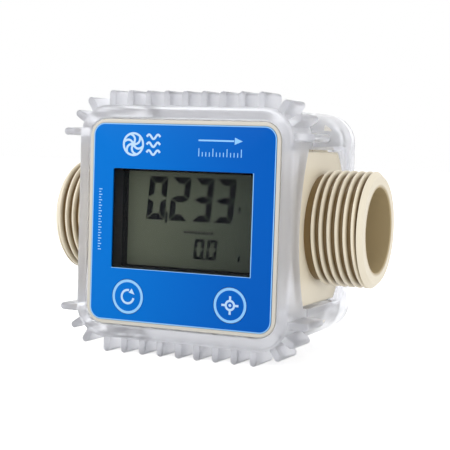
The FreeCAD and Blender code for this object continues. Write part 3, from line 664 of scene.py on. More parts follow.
@dataclass(frozen=True)
class TurnedPlastic(MouldedPlastic):
    """The same plastic on the pipe, with painted shade: brown in the thread's roots, olive down the
    bore.
    """
    # Both colours are painted shade: the root's in the thread's grooves, the bore's down the bore.
    root: Color = shade(122, 98, 58)
    bore: Color = shade(186, 167, 128)
    root_radius: float = 15.3 * MM
    crest_radius: float = 16.35 * MM
    thread_end: float = 47.0 * MM
    bore_radius: float = 12.4 * MM
    mouth_radius: float = 13.2 * MM

    def tone(self, shader: Shader) -> Source:
        """The colour, with the root's as painted shade in the thread and the bore's as painted shade
        inside.

        Args:
            shader: the material's graph.
        Returns:
            The colour.
        """
        groove = shader.effect(TURNED_MASK, Inner=self.root_radius, Outer=self.crest_radius,
                               Limit=self.thread_end)
        inside = shader.effect(TURNED_MASK, Inner=self.bore_radius, Outer=self.mouth_radius, Limit=1.0)
        outside = shader.mixed(self.color, self.root, groove["Mask"])
        return shader.mixed(outside, self.bore, inside["Mask"])


@dataclass(frozen=True)
class ClearRubber(Finish):
    """Clear soft vinyl with slightly wavy walls, frosted in the thick band at the front."""
    roughness: float = 0.07
    band_roughness: float = 0.3
    band_end: float = -15 * MM
    wall_start: float = -11 * MM
    transmission: float = 0.82
    bend: float = 1.28
    drift: tuple[float, float] = (45.0, 0.05)
    grain: tuple[float, float] = (90.0, 0.1)
    height: float = 0.05 * MM

    def polish(self, shader: Shader) -> Source:
        """The roughness, which falls from the band to the walls."""
        return shader.ramp(Axis.Y, self.band_end, self.wall_start, self.band_roughness, self.roughness)


@dataclass(frozen=True)
class ClearSheet(Finish):
    """A thin clear window with faint handling haze."""
    roughness: float = 0.0
    transmission: float = 1.0
    bend: float = 1.12
    drift: tuple[float, float] = (80.0, 0.02)
    grain: tuple[float, float] = (240.0, 0.02)
    height: float = 0.0005 * MM


@dataclass(frozen=True)
class PrintedSheet(Finish):
    """Printed polycarbonate: ink lighter at the left and darker at the right as painted light, under a
    satin film.
    """
    # Colour at the right end of the ramp of painted light.
    right: Color = shade(0, 0, 0)
    reach: float = 28 * MM
    roughness: float = 0.38
    specular: float = 0.06
    drift: tuple[float, float] = (40.0, 0.05)
    grain: tuple[float, float] = (5200.0, 0.08)
    height: float = 0.004 * MM

    def tone(self, shader: Shader) -> Source:
        """The colour at the left and the other one at the right, a ramp of painted light."""
        return shader.mixed(self.color, self.right, shader.ramp(Axis.X, -self.reach, self.reach))


@dataclass(frozen=True)
class DisplayCell(PrintedSheet):
    """Reflective display glass over a finely brushed mirror, lighter at the left than the right as
    painted light.
    """
    reach: float = 21 * MM
    roughness: float = 0.4
    specular: float = 0.1
    drift: tuple[float, float] = (55.0, 0.12)
    grain: tuple[float, float] = (1500.0, 0.1)
    height: float = 0.002 * MM


@dataclass(frozen=True)
class PolishedMetal(Finish):
    """Turned or rolled metal with a fine uneven polish."""
    roughness: float = 0.28
    metallic: float = 1.0
    drift: tuple[float, float] = (300.0, 0.12)
    grain: tuple[float, float] = (3200.0, 0.15)
    height: float = 0.004 * MM


class Dress(Enum):
    """Every finish of the meter."""
    CREAM = MouldedPlastic("cream_plastic", shade(238, 229, 208))
    PIPE = TurnedPlastic("cream_pipe", shade(238, 228, 206))
    # The cover's cream, darkened all over as painted shade.
    SHADED_RIM = MouldedPlastic("cream_rim_painted_shade", shade(204, 199, 188))
    JACKET = ClearRubber("clear_jacket", shade(237, 238, 243))
    # Each print is lighter at the left than at the right as painted light.
    INK_BLUE = PrintedSheet("blue_label", shade(0, 112, 204), right=shade(0, 88, 182))
    INK_WHITE = PrintedSheet("white_print", shade(186, 216, 242), right=shade(182, 212, 242))
    # Pale print, also used for the painted highlights along the label's cut edges.
    PALE_INK_AND_HIGHLIGHT = PrintedSheet("pale_blue_print_and_highlight", shade(150, 202, 244), right=shade(140, 196, 244))
    LENS = ClearSheet("window_clear", WHITE)
    # The display is lighter at the left as painted light.
    CELL = DisplayCell("display_grey_green", shade(74, 79, 65), right=shade(42, 49, 40))
    SEGMENT = Finish("display_segment", shade(2, 4, 8), 0.6, 0.04, height=0.001 * MM)
    FRAME = Finish("black_frame", shade(12, 12, 16))
    SEAL = Finish("seal_rubber", shade(34, 33, 32), 0.65)
    BOARD = Finish("board_green", shade(24, 92, 50), 0.4)
    CHIP = Finish("chip_black", shade(26, 27, 29), 0.55)
    STRIP = Finish("strip_rubber", shade(150, 150, 152), 0.6)
    REED = Finish("reed_glass", shade(96, 132, 96), 0.15)
    SLEEVE = Finish("cell_sleeve", shade(42, 60, 92), 0.35)
    STEEL = PolishedMetal("bright_steel", shade(196, 198, 200))
    SPRING = PolishedMetal("plated_contact", shade(206, 200, 184), 0.32)
    MAGNET = PolishedMetal("magnet_plate", shade(168, 170, 174), 0.24)
    BRASS = PolishedMetal("bush_brass", shade(206, 164, 88), 0.3)
    ROTOR = Finish("rotor_plastic", shade(226, 226, 220), 0.4)


class Slot(Enum):
    """Names of the record's material slots, given with each new piece."""
    BODY = "body_plastic"
    JACKET = "jacket_clear"
    LABEL = "label_print"
    GLASS = "display_glass"


def finished(shape: bpy.types.Object, dress: Dress, body: str, slot: Slot, *replaced: str) -> None:
    """Dress a new piece, let it ride on a body and hide the CAD nodes that it stands for.

    Args:
        shape: the piece.
        dress: its finish.
        body: the body that it moves with.
        slot: the material slot of the record; not used.
        replaced: CAD nodes that it stands for.
    """
    shape.data.materials.clear()
    shape.data.materials.append(dress.value.material())
    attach(shape, body)
    if replaced:
        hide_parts(*replaced)
    LOG.info("%s: %d faces", shape.name, len(shape.data.polygons))


# ---------------------------------------------------------------- flow body

@dataclass
class FlowPipe:
    """The pipe through the meter with a male thread at both ends, as one turned surface."""
    reach: float
    crest: float = 16.62 * MM
    wall: float = 15.2 * MM
    bore: float = 12.13 * MM
    chamber: float = 12.53 * MM
    stop: float = 13.0 * MM
    groove_wide: float = 1.2 * MM
    groove_deep: float = 0.65 * MM
    chamfer: float = 1.4 * MM
    edge: float = 0.25 * MM
    pitch: float = 2.309 * MM
    depth: float = 1.5 * MM
    groove_half: float = 0.41
    flank: float = 0.27
    fade: float = 0.5 * MM
    thread_start: float = 33.4 * MM
    step: float = 0.05 * MM
    first_groove: float = 34.25 * MM
    columns: int = 128
    rows_per_turn: int = 16

    def thread(self, x: np.ndarray, angle: np.ndarray) -> np.ndarray:
        """Depth of the thread below its crest.

        The distance to the nearest groove is measured along the axis, where a groove moves on by
        one pitch for each turn to the right. The rise goes from 0 at the groove's half width to 1
        one flank further in, both in pitches, and the depth is its smooth step, 3 rise squared
        minus 2 rise cubed. It fades out at both ends of the thread.

        Args:
            x: places along the flow.
            angle: angles about it.
        Returns:
            The depth at each place and angle.
        """
        turns = (x - self.first_groove) / self.pitch - angle / FULL_TURN
        away = np.abs(turns - np.round(turns))
        rise = np.clip((self.groove_half - away) / self.flank, 0, 1)
        start = np.clip((np.abs(x) - self.thread_start) / self.fade, 0, 1)
        finish = np.clip((self.reach - self.chamfer - np.abs(x)) / self.fade, 0, 1)
        return self.depth * (start * rise * rise * (3 - 2 * rise) + (1 - start)) * finish

    def solid(self) -> Solid:
        """The wall as one closed grid: outside from inlet to outlet, then the bore back again.

        Returns:
            The closed wall.
        """
        rim = self.reach - self.chamfer
        dense = np.arange(self.thread_start, rim, self.pitch / self.rows_per_turn)
        outside = np.concatenate([[0.0, self.thread_start - self.step], dense, [rim]])
        x = np.concatenate([-outside[::-1], outside[1:]])
        threaded = np.abs(x) >= self.thread_start
        radius = np.where(threaded, self.crest, self.wall)
        clip_start, clip_end = -self.stop - self.groove_wide, -self.stop
        deep = self.chamber + self.groove_deep
        inside = np.array([
            (self.reach, self.crest - self.chamfer), (self.reach, self.bore + self.edge),
            (self.reach - self.edge, self.bore), (self.stop, self.bore), (self.stop, self.chamber),
            (clip_end, self.chamber), (clip_end, deep), (clip_start, deep), (clip_start, self.chamber),
            (self.edge - self.reach, self.chamber), (-self.reach, self.chamber + self.edge),
            (-self.reach, self.crest - self.chamfer)])
        x = np.concatenate([x, inside[:, 0]])[:, None]
        radius = np.concatenate([radius, inside[:, 1]])[:, None]
        threaded = np.concatenate([threaded, np.zeros(len(inside))])[:, None]
        angle = np.linspace(0, FULL_TURN, self.columns, endpoint=False)[None, :]
        shaped = radius - threaded * self.thread(x, angle)
        return looped(np.stack([np.broadcast_to(x, shaped.shape), shaped * np.cos(angle),
                                shaped * np.sin(angle)], -1))

    def build(self) -> None:
        """Make the pipe, which stands for the moulded body with the housing."""
        finished(new_object("flow_pipe", self.solid()), Dress.PIPE, "meter", Slot.BODY, "main_body")


@dataclass
class Cheek:
    """A cheek that carries a port: flat above and below, bulging to the front and the back."""
    inner: float = 27.6 * MM
    reach: float = 31.5 * MM
    half: float = 21.75 * MM
    front: float = 21.6 * MM
    rear: float = 21.2 * MM
    front_bulge: float = 49.0 * MM
    rear_bulge: float = 31.0 * MM
    edge: float = 0.6 * MM
    steps: int = 20

    def outline(self, grow: float) -> np.ndarray:
        """Outline (2 (steps + 1), 2) in (y, z), grown outwards.

        Each bulge is y = edge minus or plus (radius - sqrt(radius squared - z squared)).

        Args:
            grow: how far it grows; below 0 it shrinks.
        Returns:
            The outline.
        """
        z = np.linspace(-self.half - grow, self.half + grow, self.steps + 1)
        rear, front = self.rear_bulge + grow, self.front_bulge + grow
        back = self.rear + grow - rear + np.sqrt(rear ** 2 - z ** 2)
        face = -self.front - grow + front - np.sqrt(front ** 2 - z ** 2)
        return np.concatenate([np.stack([back, z], -1), np.stack([face, z], -1)[::-1]])

    def solid(self) -> Solid:
        """The cheek at the outlet, with its outer edge rounded.

        Returns:
            The closed cheek.
        """
        def ring(inset: float, x: float) -> np.ndarray:
            """The cheek's outline, moved inwards, at one place along the flow."""
            return facing_side(self.outline(-inset), x)

        return stacked(np.stack([ring(0.0, self.inner)]
                                + rounded_edge(ring, self.reach, self.edge, -self.edge)))

    def opening(self, gap: float, flare: float, start: float, end: float) -> Solid:
        """What the jacket leaves free round a cheek, wider towards the outside by the flare."""
        rings = [facing_side(self.outline(gap), start), facing_side(self.outline(gap + flare), end)]
        return stacked(np.stack(rings))


@dataclass
class Housing:
    """The electronics tray, the cheeks, the battery tubes and the ribs, moulded as one."""
    cheek: Cheek
    half: float = 29.2 * MM
    corner: float = 5.2 * MM
    rim: float = -26.2 * MM
    wall: float = 1.6 * MM
    floor_front: float = -15.8 * MM
    floor_back: float = -14.0 * MM
    floor_round: float = 1.0 * MM
    tube_outside: float = 6.4 * MM
    tube_bore: float = 5.45 * MM
    tube_back: float = 4.6 * MM
    tube_rise: float = 21.6 * MM
    tube_start: float = -26.4 * MM
    tube_floor: float = 26.1 * MM
    tube_edge: float = 0.3 * MM
    tube_overlap: float = 1.0 * MM
    rib: float = 1.8 * MM
    rib_rear: float = 19.0 * MM
    rib_place: float = 13.0 * MM
    rib_round: float = 0.3 * MM
    web_half: float = 27.0 * MM
    web_shift: float = 0.6 * MM
    web_low: float = 14.0 * MM
    web_high: float = 15.8 * MM
    through: float = 13.8 * MM
    seat: float = 6.45 * MM

    def cup(self) -> Solid:
        """The tray: inner floor, inner wall, rim, outer wall and a rounded outer floor.

        Returns:
            The closed tray.
        """
        def ring(inset: float, y: float) -> np.ndarray:
            """The tray's outline, moved inwards, at one depth."""
            return rounded_square(self.half - inset, self.corner - inset, y)

        rings = [ring(self.wall, self.floor_front), ring(self.wall, self.rim), ring(0.0, self.rim)]
        rings += rounded_edge(ring, self.floor_back, self.floor_round, -self.floor_round)
        return stacked(np.stack(rings))

    def about_tube(self, radius: float) -> np.ndarray:
        """A circle about the upper battery tube's axis."""
        return circle(radius, 72, self.tube_back, self.tube_rise)

    def tube(self) -> Solid:
        """The upper battery tube: closed at the outlet side, open at the inlet side.

        Returns:
            The closed tube, with its bore.
        """
        outside, start, edge = self.tube_outside, self.tube_start, self.tube_edge
        profile = [(self.tube_bore, self.tube_floor), (self.tube_bore, start), (outside - edge, start),
                   (outside, start + edge), (outside, self.cheek.inner + self.tube_overlap)]
        return stacked(np.stack([facing_side(self.about_tube(radius), x) for radius, x in profile]))

    def slab(self, half_x: float, half_y: float, low: float, high: float, x: float, y: float) -> Solid:
        """An upright rib with lightly rounded corners between two heights.

        Args:
            half_x: half of its width along the flow.
            half_y: half of its depth.
            low: height of its foot.
            high: height of its head.
            x: place of its middle along the flow.
            y: depth of its middle.
        Returns:
            The closed rib.
        """
        outline = rounded_rectangle(half_x, half_y, self.rib_round, 3) + np.array([x, y])
        rings = [np.column_stack([outline, np.full(len(outline), z)]) for z in (low, high)]
        return stacked(np.stack(rings))

    def build(self) -> None:
        """Unite the solids, clear the way of the pipe's bore and cut the seats of the battery caps."""
        shape = new_object("housing", self.cup())
        side, tube = self.cheek.solid(), self.tube()
        half_rib, half_rear = self.rib / 2, self.rib_rear / 2
        level = self.slab(self.cheek.inner, half_rear, -half_rib, half_rib, 0.0, half_rear)
        web = self.slab(self.web_half, half_rib, self.web_low, self.web_high,
                        self.web_shift, self.tube_back)
        parts = [side, side.mirrored(Axis.X), tube, tube.mirrored(Axis.Z), level,
                 web, web.mirrored(Axis.Z)]
        parts += [self.slab(half_rib, half_rear, -self.cheek.half, self.cheek.half, x, half_rear)
                  for x in (-self.rib_place, self.rib_place)]
        for part in parts:
            combine(shape, part, Join.UNION)
        end = self.cheek.reach + BEYOND
        combine(shape, rod(circle(self.through, 96), -end, end), Join.CUT)
        seat = rod(self.about_tube(self.seat), -end, self.tube_start)
        combine(shape, Solid.joined([seat, seat.mirrored(Axis.Z)]), Join.CUT)
        finished(shape, Dress.CREAM, "meter", Slot.BODY, "main_body")


# ---------------------------------------------------------------- jacket

@dataclass
class Jacket:
    """The clear bumper jacket: a cup round the meter with a band of fins at its front."""
    box: Box
    cheek: Cheek
    side: float = 32.8 * MM
    top: float = 33.2 * MM
    corner: float = 9.0 * MM
    inner: float = 29.45 * MM
    inner_corner: float = 5.45 * MM
    back_wall: float = 3.0 * MM
    rear_round: float = 6.0 * MM
    inner_round: float = 2.6 * MM
    lip_round: float = 0.4 * MM
    lead: float = 1.2 * MM
    fin_thick: float = 2.1 * MM
    fin_foot: float = 2.31 * MM
    fin_pitch: float = 5.7 * MM
    fin_deep: float = 12.4 * MM
    fin_setback: float = 1.0 * MM
    fin_root: float = 1.5 * MM
    fin_edge: float = 0.35 * MM
    fins_each_side: int = 4
    fan_leans: tuple[float, ...] = (31.0, 57.5)
    fan_tall: float = 3.8 * MM
    level_rise: float = 25.4 * MM
    gap: float = 0.25 * MM
    flare: float = 0.5 * MM
    steps: int = 12

    def shell(self) -> Solid:
        """The cup as rings from the inner back wall forwards, over the rim and back outside.

        Returns:
            The closed cup.
        """
        front, back = self.box.low.y, self.box.high.y

        def inside(inset: float, y: float) -> np.ndarray:
            """The inner wall's outline, moved inwards, at one depth."""
            return rounded_square(self.inner - inset, self.inner_corner - inset, y, self.steps)

        def outside(inset: float, y: float) -> np.ndarray:
            """The outer wall's outline, moved inwards, at one depth."""
            wide, tall = self.side - inset, self.top - inset
            return facing_front(rounded_rectangle(wide, tall, self.corner - inset, self.steps), y)

        rings = rounded_edge(inside, back - self.back_wall, self.inner_round, -self.inner_round)[::-1]
        rings += rounded_edge(inside, front, -self.lip_round, self.lip_round, 3)
        rings += rounded_edge(outside, front, self.lead, self.lead, 5)[::-1]
        rings += rounded_edge(outside, back, self.rear_round, -self.rear_round, 10)
        return stacked(np.stack(rings))

    def fin(self, x: float, z: float, lean: float, root: float, tip: float) -> Solid:
        """A fin with a round tip that leaves (x, z) at a lean from upright, in degrees.

        Its outline is the root's two corners and a half circle at the tip. The outline shrinks
        over the quarter rounds at its front and back ends.

        Args:
            x: place of its foot's centre across.
            z: height of that centre.
            lean: angle from upright, in degrees.
            root: distance from the centre to its root.
            tip: distance to its tip.
        Returns:
            The closed fin.
        """
        front = self.box.low.y + self.fin_setback
        back = front + self.fin_deep
        turn = math.radians(lean)
        up = np.array([math.sin(turn), math.cos(turn)])
        across = np.array([up[1], -up[0]])
        arc = np.linspace(0, math.pi, 9)

        def ring(inset: float, y: float) -> np.ndarray:
            """The fin's outline, moved inwards, at one depth.

            Args:
                inset: how far it moves inwards.
                y: its depth.
            Returns:
                The ring.
            """
            half, foot = self.fin_thick / 2 - inset, self.fin_foot / 2 - inset
            wide = np.concatenate([[foot], half * np.cos(arc), [-foot]])
            tall = np.concatenate([[root], tip - inset - half + half * np.sin(arc), [root]])
            outline = np.array([x, z]) + wide[:, None] * across + tall[:, None] * up
            return facing_front(outline, y)

        rings = rounded_edge(ring, front, self.fin_edge, self.fin_edge, 3)[::-1]
        rings += rounded_edge(ring, back, self.fin_edge, -self.fin_edge, 3)
        return stacked(np.stack(rings))

    def fins(self) -> Solid:
        """All fins: a row above and below, a fan at each corner and a level pair on each side.

        Returns:
            The fins as one set of arrays.
        """
        fin_tall = self.box.high.z - self.top
        level_tall = self.box.high.x - self.side
        places = np.arange(-self.fins_each_side, self.fins_each_side + 1) * self.fin_pitch
        upper = [self.fin(x, 0.0, 0.0, self.top - self.fin_root, self.top + fin_tall) for x in places]
        x, z = self.side - self.corner, self.top - self.corner
        quarter = [self.fin(x, z, lean, self.corner - self.fin_root, self.corner + self.fan_tall)
                   for lean in self.fan_leans]
        quarter.append(self.fin(0.0, self.level_rise, 90.0, self.side - self.fin_root,
                                self.side + level_tall))
        right = upper + quarter + [fin.mirrored(Axis.X) for fin in quarter]
        return Solid.joined(right + [fin.mirrored(Axis.Z) for fin in right])

    def build(self) -> None:
        """Unite shell and fins, then cut the two openings for the cheeks."""
        shape = new_object("clear_jacket", self.shell())
        combine(shape, self.fins(), Join.UNION)
        start, end = self.inner - 2 * BEYOND, self.box.high.x + BEYOND
        opening = self.cheek.opening(self.gap, self.flare, start, end)
        combine(shape, Solid.joined([opening, opening.mirrored(Axis.X)]), Join.CUT)
        finished(shape, Dress.JACKET, "meter", Slot.JACKET, "jacket")


# ---------------------------------------------------------------- front

@dataclass
class Front:
    """The cover, the printed label with its window, and the two keys."""
    label: Box
    lens: Box
    cover: Box
    keys: dict[str, Box]
    cover_corner: float = 5.2 * MM
    cover_edge: float = 0.25 * MM
    cover_web: float = 1.7 * MM
    recess_gap: float = 0.1 * MM
    recess_edge: float = 0.05 * MM
    corner: float = 3.5 * MM
    lens_border: float = 0.6 * MM
    window_corner: float = 0.5 * MM
    window_seat: float = 1.6 * MM
    key_gap: float = 0.1 * MM
    key_seat: float = 5.15 * MM
    key_sink: float = 0.6 * MM
    stem: float = 2.0 * MM
    stem_hole: float = 2.1 * MM
    sheet_edge: float = 0.12 * MM
    # Widths and shift of the painted highlight lines along the label's cut edges.
    edge_highlight: float = 0.3 * MM
    right_highlight: float = 0.22 * MM
    foot_highlight: float = 0.16 * MM
    highlight_shift: float = 0.1 * MM
    ring_wide: float = 0.75 * MM
    ring_radius: float = 4.5 * MM

    def window(self) -> tuple[float, float, float]:
        """Half width, half height and centre height of the window."""
        half = self.lens.half
        return half.x - self.lens_border, half.z - self.lens_border, self.lens.middle.z

    def window_cutter(self, grow: float, front: float, back: float) -> Solid:
        """A block with the window's outline.

        Args:
            grow: how far it is larger than the window.
            front: depth of its face.
            back: depth of its back.
        Returns:
            The closed block.
        """
        wide, tall, rise = self.window()
        outline = rounded_rectangle(wide + grow, tall + grow, self.window_corner, 4)
        return patch(outline + np.array([0.0, rise]), front, back)

    @staticmethod
    def key_cutter(key: Box, radius: float, front: float, back: float) -> Solid:
        """A cylinder about a key's axis."""
        return patch(circle(radius, 96, key.middle.x, key.middle.z), front, back)

    def build_cover(self) -> None:
        """The cover, in a darker cream as painted shade: a plate with a recess for the label and holes
        for what passes through.
        """
        front, floor = self.cover.low.y, self.label.high.y
        recess, corner = self.label.half.x + self.recess_gap, self.corner + self.recess_gap
        edge, back = self.recess_edge, floor + self.cover_web

        def side(inset: float, y: float) -> np.ndarray:
            """The cover's outline, moved inwards, at one depth."""
            return rounded_square(self.cover.half.x - inset, self.cover_corner - inset, y, 10)

        rings = [rounded_square(recess, corner, floor, 10),
                 rounded_square(recess, corner, front + edge, 10),
                 rounded_square(recess + edge, corner + edge, front, 10)]
        rings += rounded_edge(side, front, self.cover_edge, self.cover_edge, 3)[::-1]
        rings.append(side(0.0, back))
        shape = new_object("cover", stacked(np.stack(rings)))
        start, end, seat = front - BEYOND, back + BEYOND, floor + self.key_sink
        combine(shape, self.window_cutter(self.window_seat, start, end), Join.CUT)
        for key in self.keys.values():
            combine(shape, self.key_cutter(key, self.key_seat, start, seat), Join.CUT)
            combine(shape, self.key_cutter(key, self.stem_hole, floor, end), Join.CUT)
        # The darker cream of the cover is painted shade.
        finished(shape, Dress.SHADED_RIM, "meter", Slot.BODY, "front_cover")

    def build_label(self) -> None:
        """The blue sheet with its window and key openings, and painted highlights along its cut edges.
        """
        half, front, back = self.label.half.x, self.label.low.y, self.label.high.y

        def sheet(inset: float, y: float) -> np.ndarray:
            """The sheet's outline, moved inwards, at one depth."""
            return rounded_square(half - inset, self.corner - inset, y, 12)

        rings = [sheet(0.0, back)] + rounded_edge(sheet, front, self.sheet_edge, self.sheet_edge, 3)
        shape = new_object("front_label", stacked(np.stack(rings)))
        through = front - BEYOND, back + BEYOND
        combine(shape, self.window_cutter(0.0, *through), Join.CUT)
        for key in self.keys.values():
            combine(shape, self.key_cutter(key, key.half.x + self.key_gap, *through), Join.CUT)
        finished(shape, Dress.INK_BLUE, "meter", Slot.LABEL, "label")
        # Pale painted highlights along the sheet's rim and the window's right and lower edges.
        wide, tall, rise = self.window()
        cut = np.array([[wide, tall], [wide, -tall], [-wide, -tall]])
        cut += np.array([self.highlight_shift, rise])
        inset, level = self.edge_highlight / 2, front - PRINT
        rim = rounded_rectangle(half - inset, half - inset, self.corner - inset, 12)
        lines = Solid.joined([ribbon(rim, self.edge_highlight, level, front, True),
                              ribbon(cut[:2], self.right_highlight, level, front),
                              ribbon(cut[1:], self.foot_highlight, level, front)])
        finished(new_object("label_edge_highlights", lines), Dress.PALE_INK_AND_HIGHLIGHT, "meter", Slot.LABEL)

    def build_key(self, name: str) -> None:
        """A blue key cap with a softened edge on its stem, and the ring printed on it.

        Args:
            name: name of the key.
        """
        front, back, edge = self.label.low.y, self.label.high.y, self.sheet_edge
        key = self.keys[name]
        radius, x, z = key.half.x, key.middle.x, key.middle.z

        def disc(inset: float, y: float) -> np.ndarray:
            """The cap's outline, moved inwards, at one depth."""
            return facing_front(circle(radius - inset, 64, x, z), y)

        neck = radius - self.stem
        rings = [disc(neck, key.high.y), disc(neck, back), disc(0.0, back)]
        rings += rounded_edge(disc, front, edge, edge, 3)
        finished(new_object(f"{name}_key_cap", stacked(np.stack(rings))), Dress.INK_BLUE,
                 f"{name}_button", Slot.LABEL, f"{name}_key")
        path = circle(self.ring_radius, 96, x, z)
        band = ribbon(path, self.ring_wide, front - PRINT, front + SUNK, True)
        finished(new_object(f"{name}_key_ring", band), Dress.PALE_INK_AND_HIGHLIGHT, f"{name}_button", Slot.LABEL)


@dataclass
class Artwork:
    """Plain generic signs printed on the label and the keys.

    A pair of sizes is a place (x, z), the two ends of a line, the length of a long and of a
    short tick, or two angles in degrees: for a curved arrow where its line starts and ends, and
    for its tip where it lies and where it points.
    """
    front: float
    line: float = 0.62 * MM
    head: tuple[float, float] = (-15.3 * MM, 22.2 * MM)
    wheel_radius: float = 3.05 * MM
    hub: float = 0.26
    blade: tuple[float, float] = (0.2, 0.94)
    sweep: float = 0.9
    wave_wide: float = 4.2 * MM
    wave_pitch: float = 2.2 * MM
    wave_rise: float = 0.28
    wave_turns: float = 1.5
    arrow: tuple[float, float] = (4.9 * MM, 16.6 * MM)
    arrow_level: float = 23.8 * MM
    arrow_line: float = 0.45 * MM
    arrow_size: float = 1.5 * MM
    scale_foot: float = 19.4 * MM
    scale_ticks: tuple[float, float] = (2.2 * MM, 1.2 * MM)
    scale_line: float = 0.26 * MM
    side_left: float = -25.9 * MM
    side_ends: tuple[float, float] = (-8.0 * MM, 9.2 * MM)
    side_ticks: tuple[float, float] = (1.0 * MM, 0.6 * MM)
    side_line: float = 0.28 * MM
    turn_radius: float = 1.9 * MM
    turn_ends: tuple[float, float] = (78.0, 350.0)
    turn_tip: tuple[float, float] = (48.0, -38.0)
    turn_arrow: float = 1.15 * MM
    aim_radius: float = 1.25 * MM
    aim_dot: float = 0.42 * MM
    aim_ticks: tuple[float, float] = (1.2 * MM, 2.55 * MM)

    def line_along(self, path: np.ndarray, wide: float, closed: bool = False,
                   back: float = 0.0) -> Solid:
        """A printed line; one that runs under another lies a little further back."""
        return ribbon(path, wide, self.front - PRINT + back, self.front + SUNK, closed)

    def area(self, outline: np.ndarray) -> Solid:
        """A printed area."""
        return patch(outline, self.front - PRINT, self.front + SUNK)

    def arrow_head(self, place: np.ndarray, angle: float, size: float) -> Solid:
        """A triangle that points along an angle in degrees.

        Args:
            place: its centre (x, z).
            angle: where it points, in degrees.
            size: distance from the centre to the point.
        Returns:
            The printed triangle.
        """
        corners = np.radians(angle + np.array([0, 130, 230]))
        reach = np.array([size, size * 0.85, size * 0.85])
        return self.area(place + polar(reach, corners))

    def ticks(self, starts: np.ndarray, way: np.ndarray, every: int, reach: tuple[float, float],
              wide: float) -> list[Solid]:
        """Ticks that leave a row of points one way, long at every few and short between them."""
        return [self.line_along(np.array([start, start + way * reach[index % every > 0]]), wide)
                for index, start in enumerate(starts)]

    def wheel(self, place: np.ndarray) -> list[Solid]:
        """A turbine wheel: a ring, a hub and six swept blades.

        A blade's centre line turns with its reach: angle = start + sweep times reach squared.

        Args:
            place: its centre (x, z).
        Returns:
            The printed ring, hub and blades.
        """
        radius = self.wheel_radius
        solids = [self.line_along(circle(radius, 64, *place), self.line, True),
                  self.area(circle(radius * self.hub, 24, *place))]
        reach = np.linspace(*self.blade, 9)
        for start in np.arange(6) * FULL_TURN / 6:
            path = place + polar(radius * reach, start + self.sweep * reach ** 2)
            solids.append(self.line_along(path, self.line, back=SUNK))
        return solids

    def waves(self, place: np.ndarray) -> list[Solid]:
        """Three level waves: height = a small share of the pitch times the sine of the place.

        Args:
            place: where the middle wave starts.
        Returns:
            The printed waves.
        """
        along, pitch = np.linspace(0, 1, 33), self.wave_pitch
        rise = self.wave_rise * pitch * np.sin(along * self.wave_turns * FULL_TURN)
        wave = place + np.stack([self.wave_wide * along, rise], -1)
        return [self.line_along(wave + np.array([0.0, row * pitch]), self.line) for row in (-1, 0, 1)]

    def print_sign(self, name: str, solids: list[Solid], ink: Dress, body: str) -> None:
        """Make one printed piece."""
        finished(new_object(name, Solid.joined(solids)), ink, body, Slot.LABEL)

    def build_signs(self) -> None:
        """The sign at the label's head, a flow arrow over a plain scale, and the scale at the side."""
        head = np.array(self.head)
        solids = self.wheel(head) + self.waves(head + np.array([self.wave_wide, 0.0]))
        self.print_sign("turbine_sign", solids, Dress.INK_WHITE, "meter")
        (start, end), level = self.arrow, self.arrow_level
        across = np.linspace(start + 0.2 * MM, end + 1.2 * MM, 13)
        solids = [self.line_along(np.array([[start, level], [end - 1 * MM, level]]), self.arrow_line),
                  self.arrow_head(np.array([end, level]), 0.0, self.arrow_size)]
        solids += self.ticks(np.stack([across, np.full_like(across, self.scale_foot)], -1),
                             np.array([0.0, 1.0]), 4, self.scale_ticks, self.scale_line)
        self.print_sign("flow_arrow", solids, Dress.PALE_INK_AND_HIGHLIGHT, "meter")
        levels = np.linspace(*self.side_ends, 23)
        solids = self.ticks(np.stack([np.full_like(levels, self.side_left), levels], -1),
                            np.array([1.0, 0.0]), 2, self.side_ticks, self.side_line)
        self.print_sign("side_scale", solids, Dress.PALE_INK_AND_HIGHLIGHT, "meter")

    def build_reset_sign(self, key: Box) -> None:
        """A circular arrow on the reset key.

        Args:
            key: the key's box.
        """
        place = np.array([key.middle.x, key.middle.z])
        path = place + polar(self.turn_radius, np.radians(np.linspace(*self.turn_ends, 28)))
        angle, lean = self.turn_tip
        tip = place + polar(self.turn_radius, np.radians(angle))
        solids = [self.line_along(path, self.line), self.arrow_head(tip, lean, self.turn_arrow)]
        self.print_sign("reset_sign", solids, Dress.INK_WHITE, "reset_button")

    def build_cal_sign(self, key: Box) -> None:
        """A ring with four ticks on the calibration key.

        Args:
            key: the key's box.
        """
        place = np.array([key.middle.x, key.middle.z])
        solids = [self.line_along(circle(self.aim_radius, 40, *place), self.line, True),
                  self.area(circle(self.aim_dot, 20, *place))]
        for angle in np.arange(4) * FULL_TURN / 4:
            path = place + polar(np.array(self.aim_ticks), angle)
            solids.append(self.line_along(path, self.line, back=SUNK))
        self.print_sign("cal_sign", solids, Dress.INK_WHITE, "cal_button")


# ---------------------------------------------------------------- display

LIT = {"0": "abcdef", "1": "bc", "2": "abdeg", "3": "abcdg", "4": "bcfg", "5": "acdfg",
       "6": "acdefg", "7": "abc", "8": "abcdefg", "9": "abcdfg"}


@dataclass(frozen=True)
class Reading:
    """One row of numerals, in mm: its foot, the size and places of its numerals, and plain marks.

    Each mark is a block, given by its lower left corner, its width and its height.
    """
    digits: str
    foot: float
    wide: float
    tall: float
    line: float
    places: tuple[float, ...]
    marks: tuple[tuple[float, float, float, float], ...]


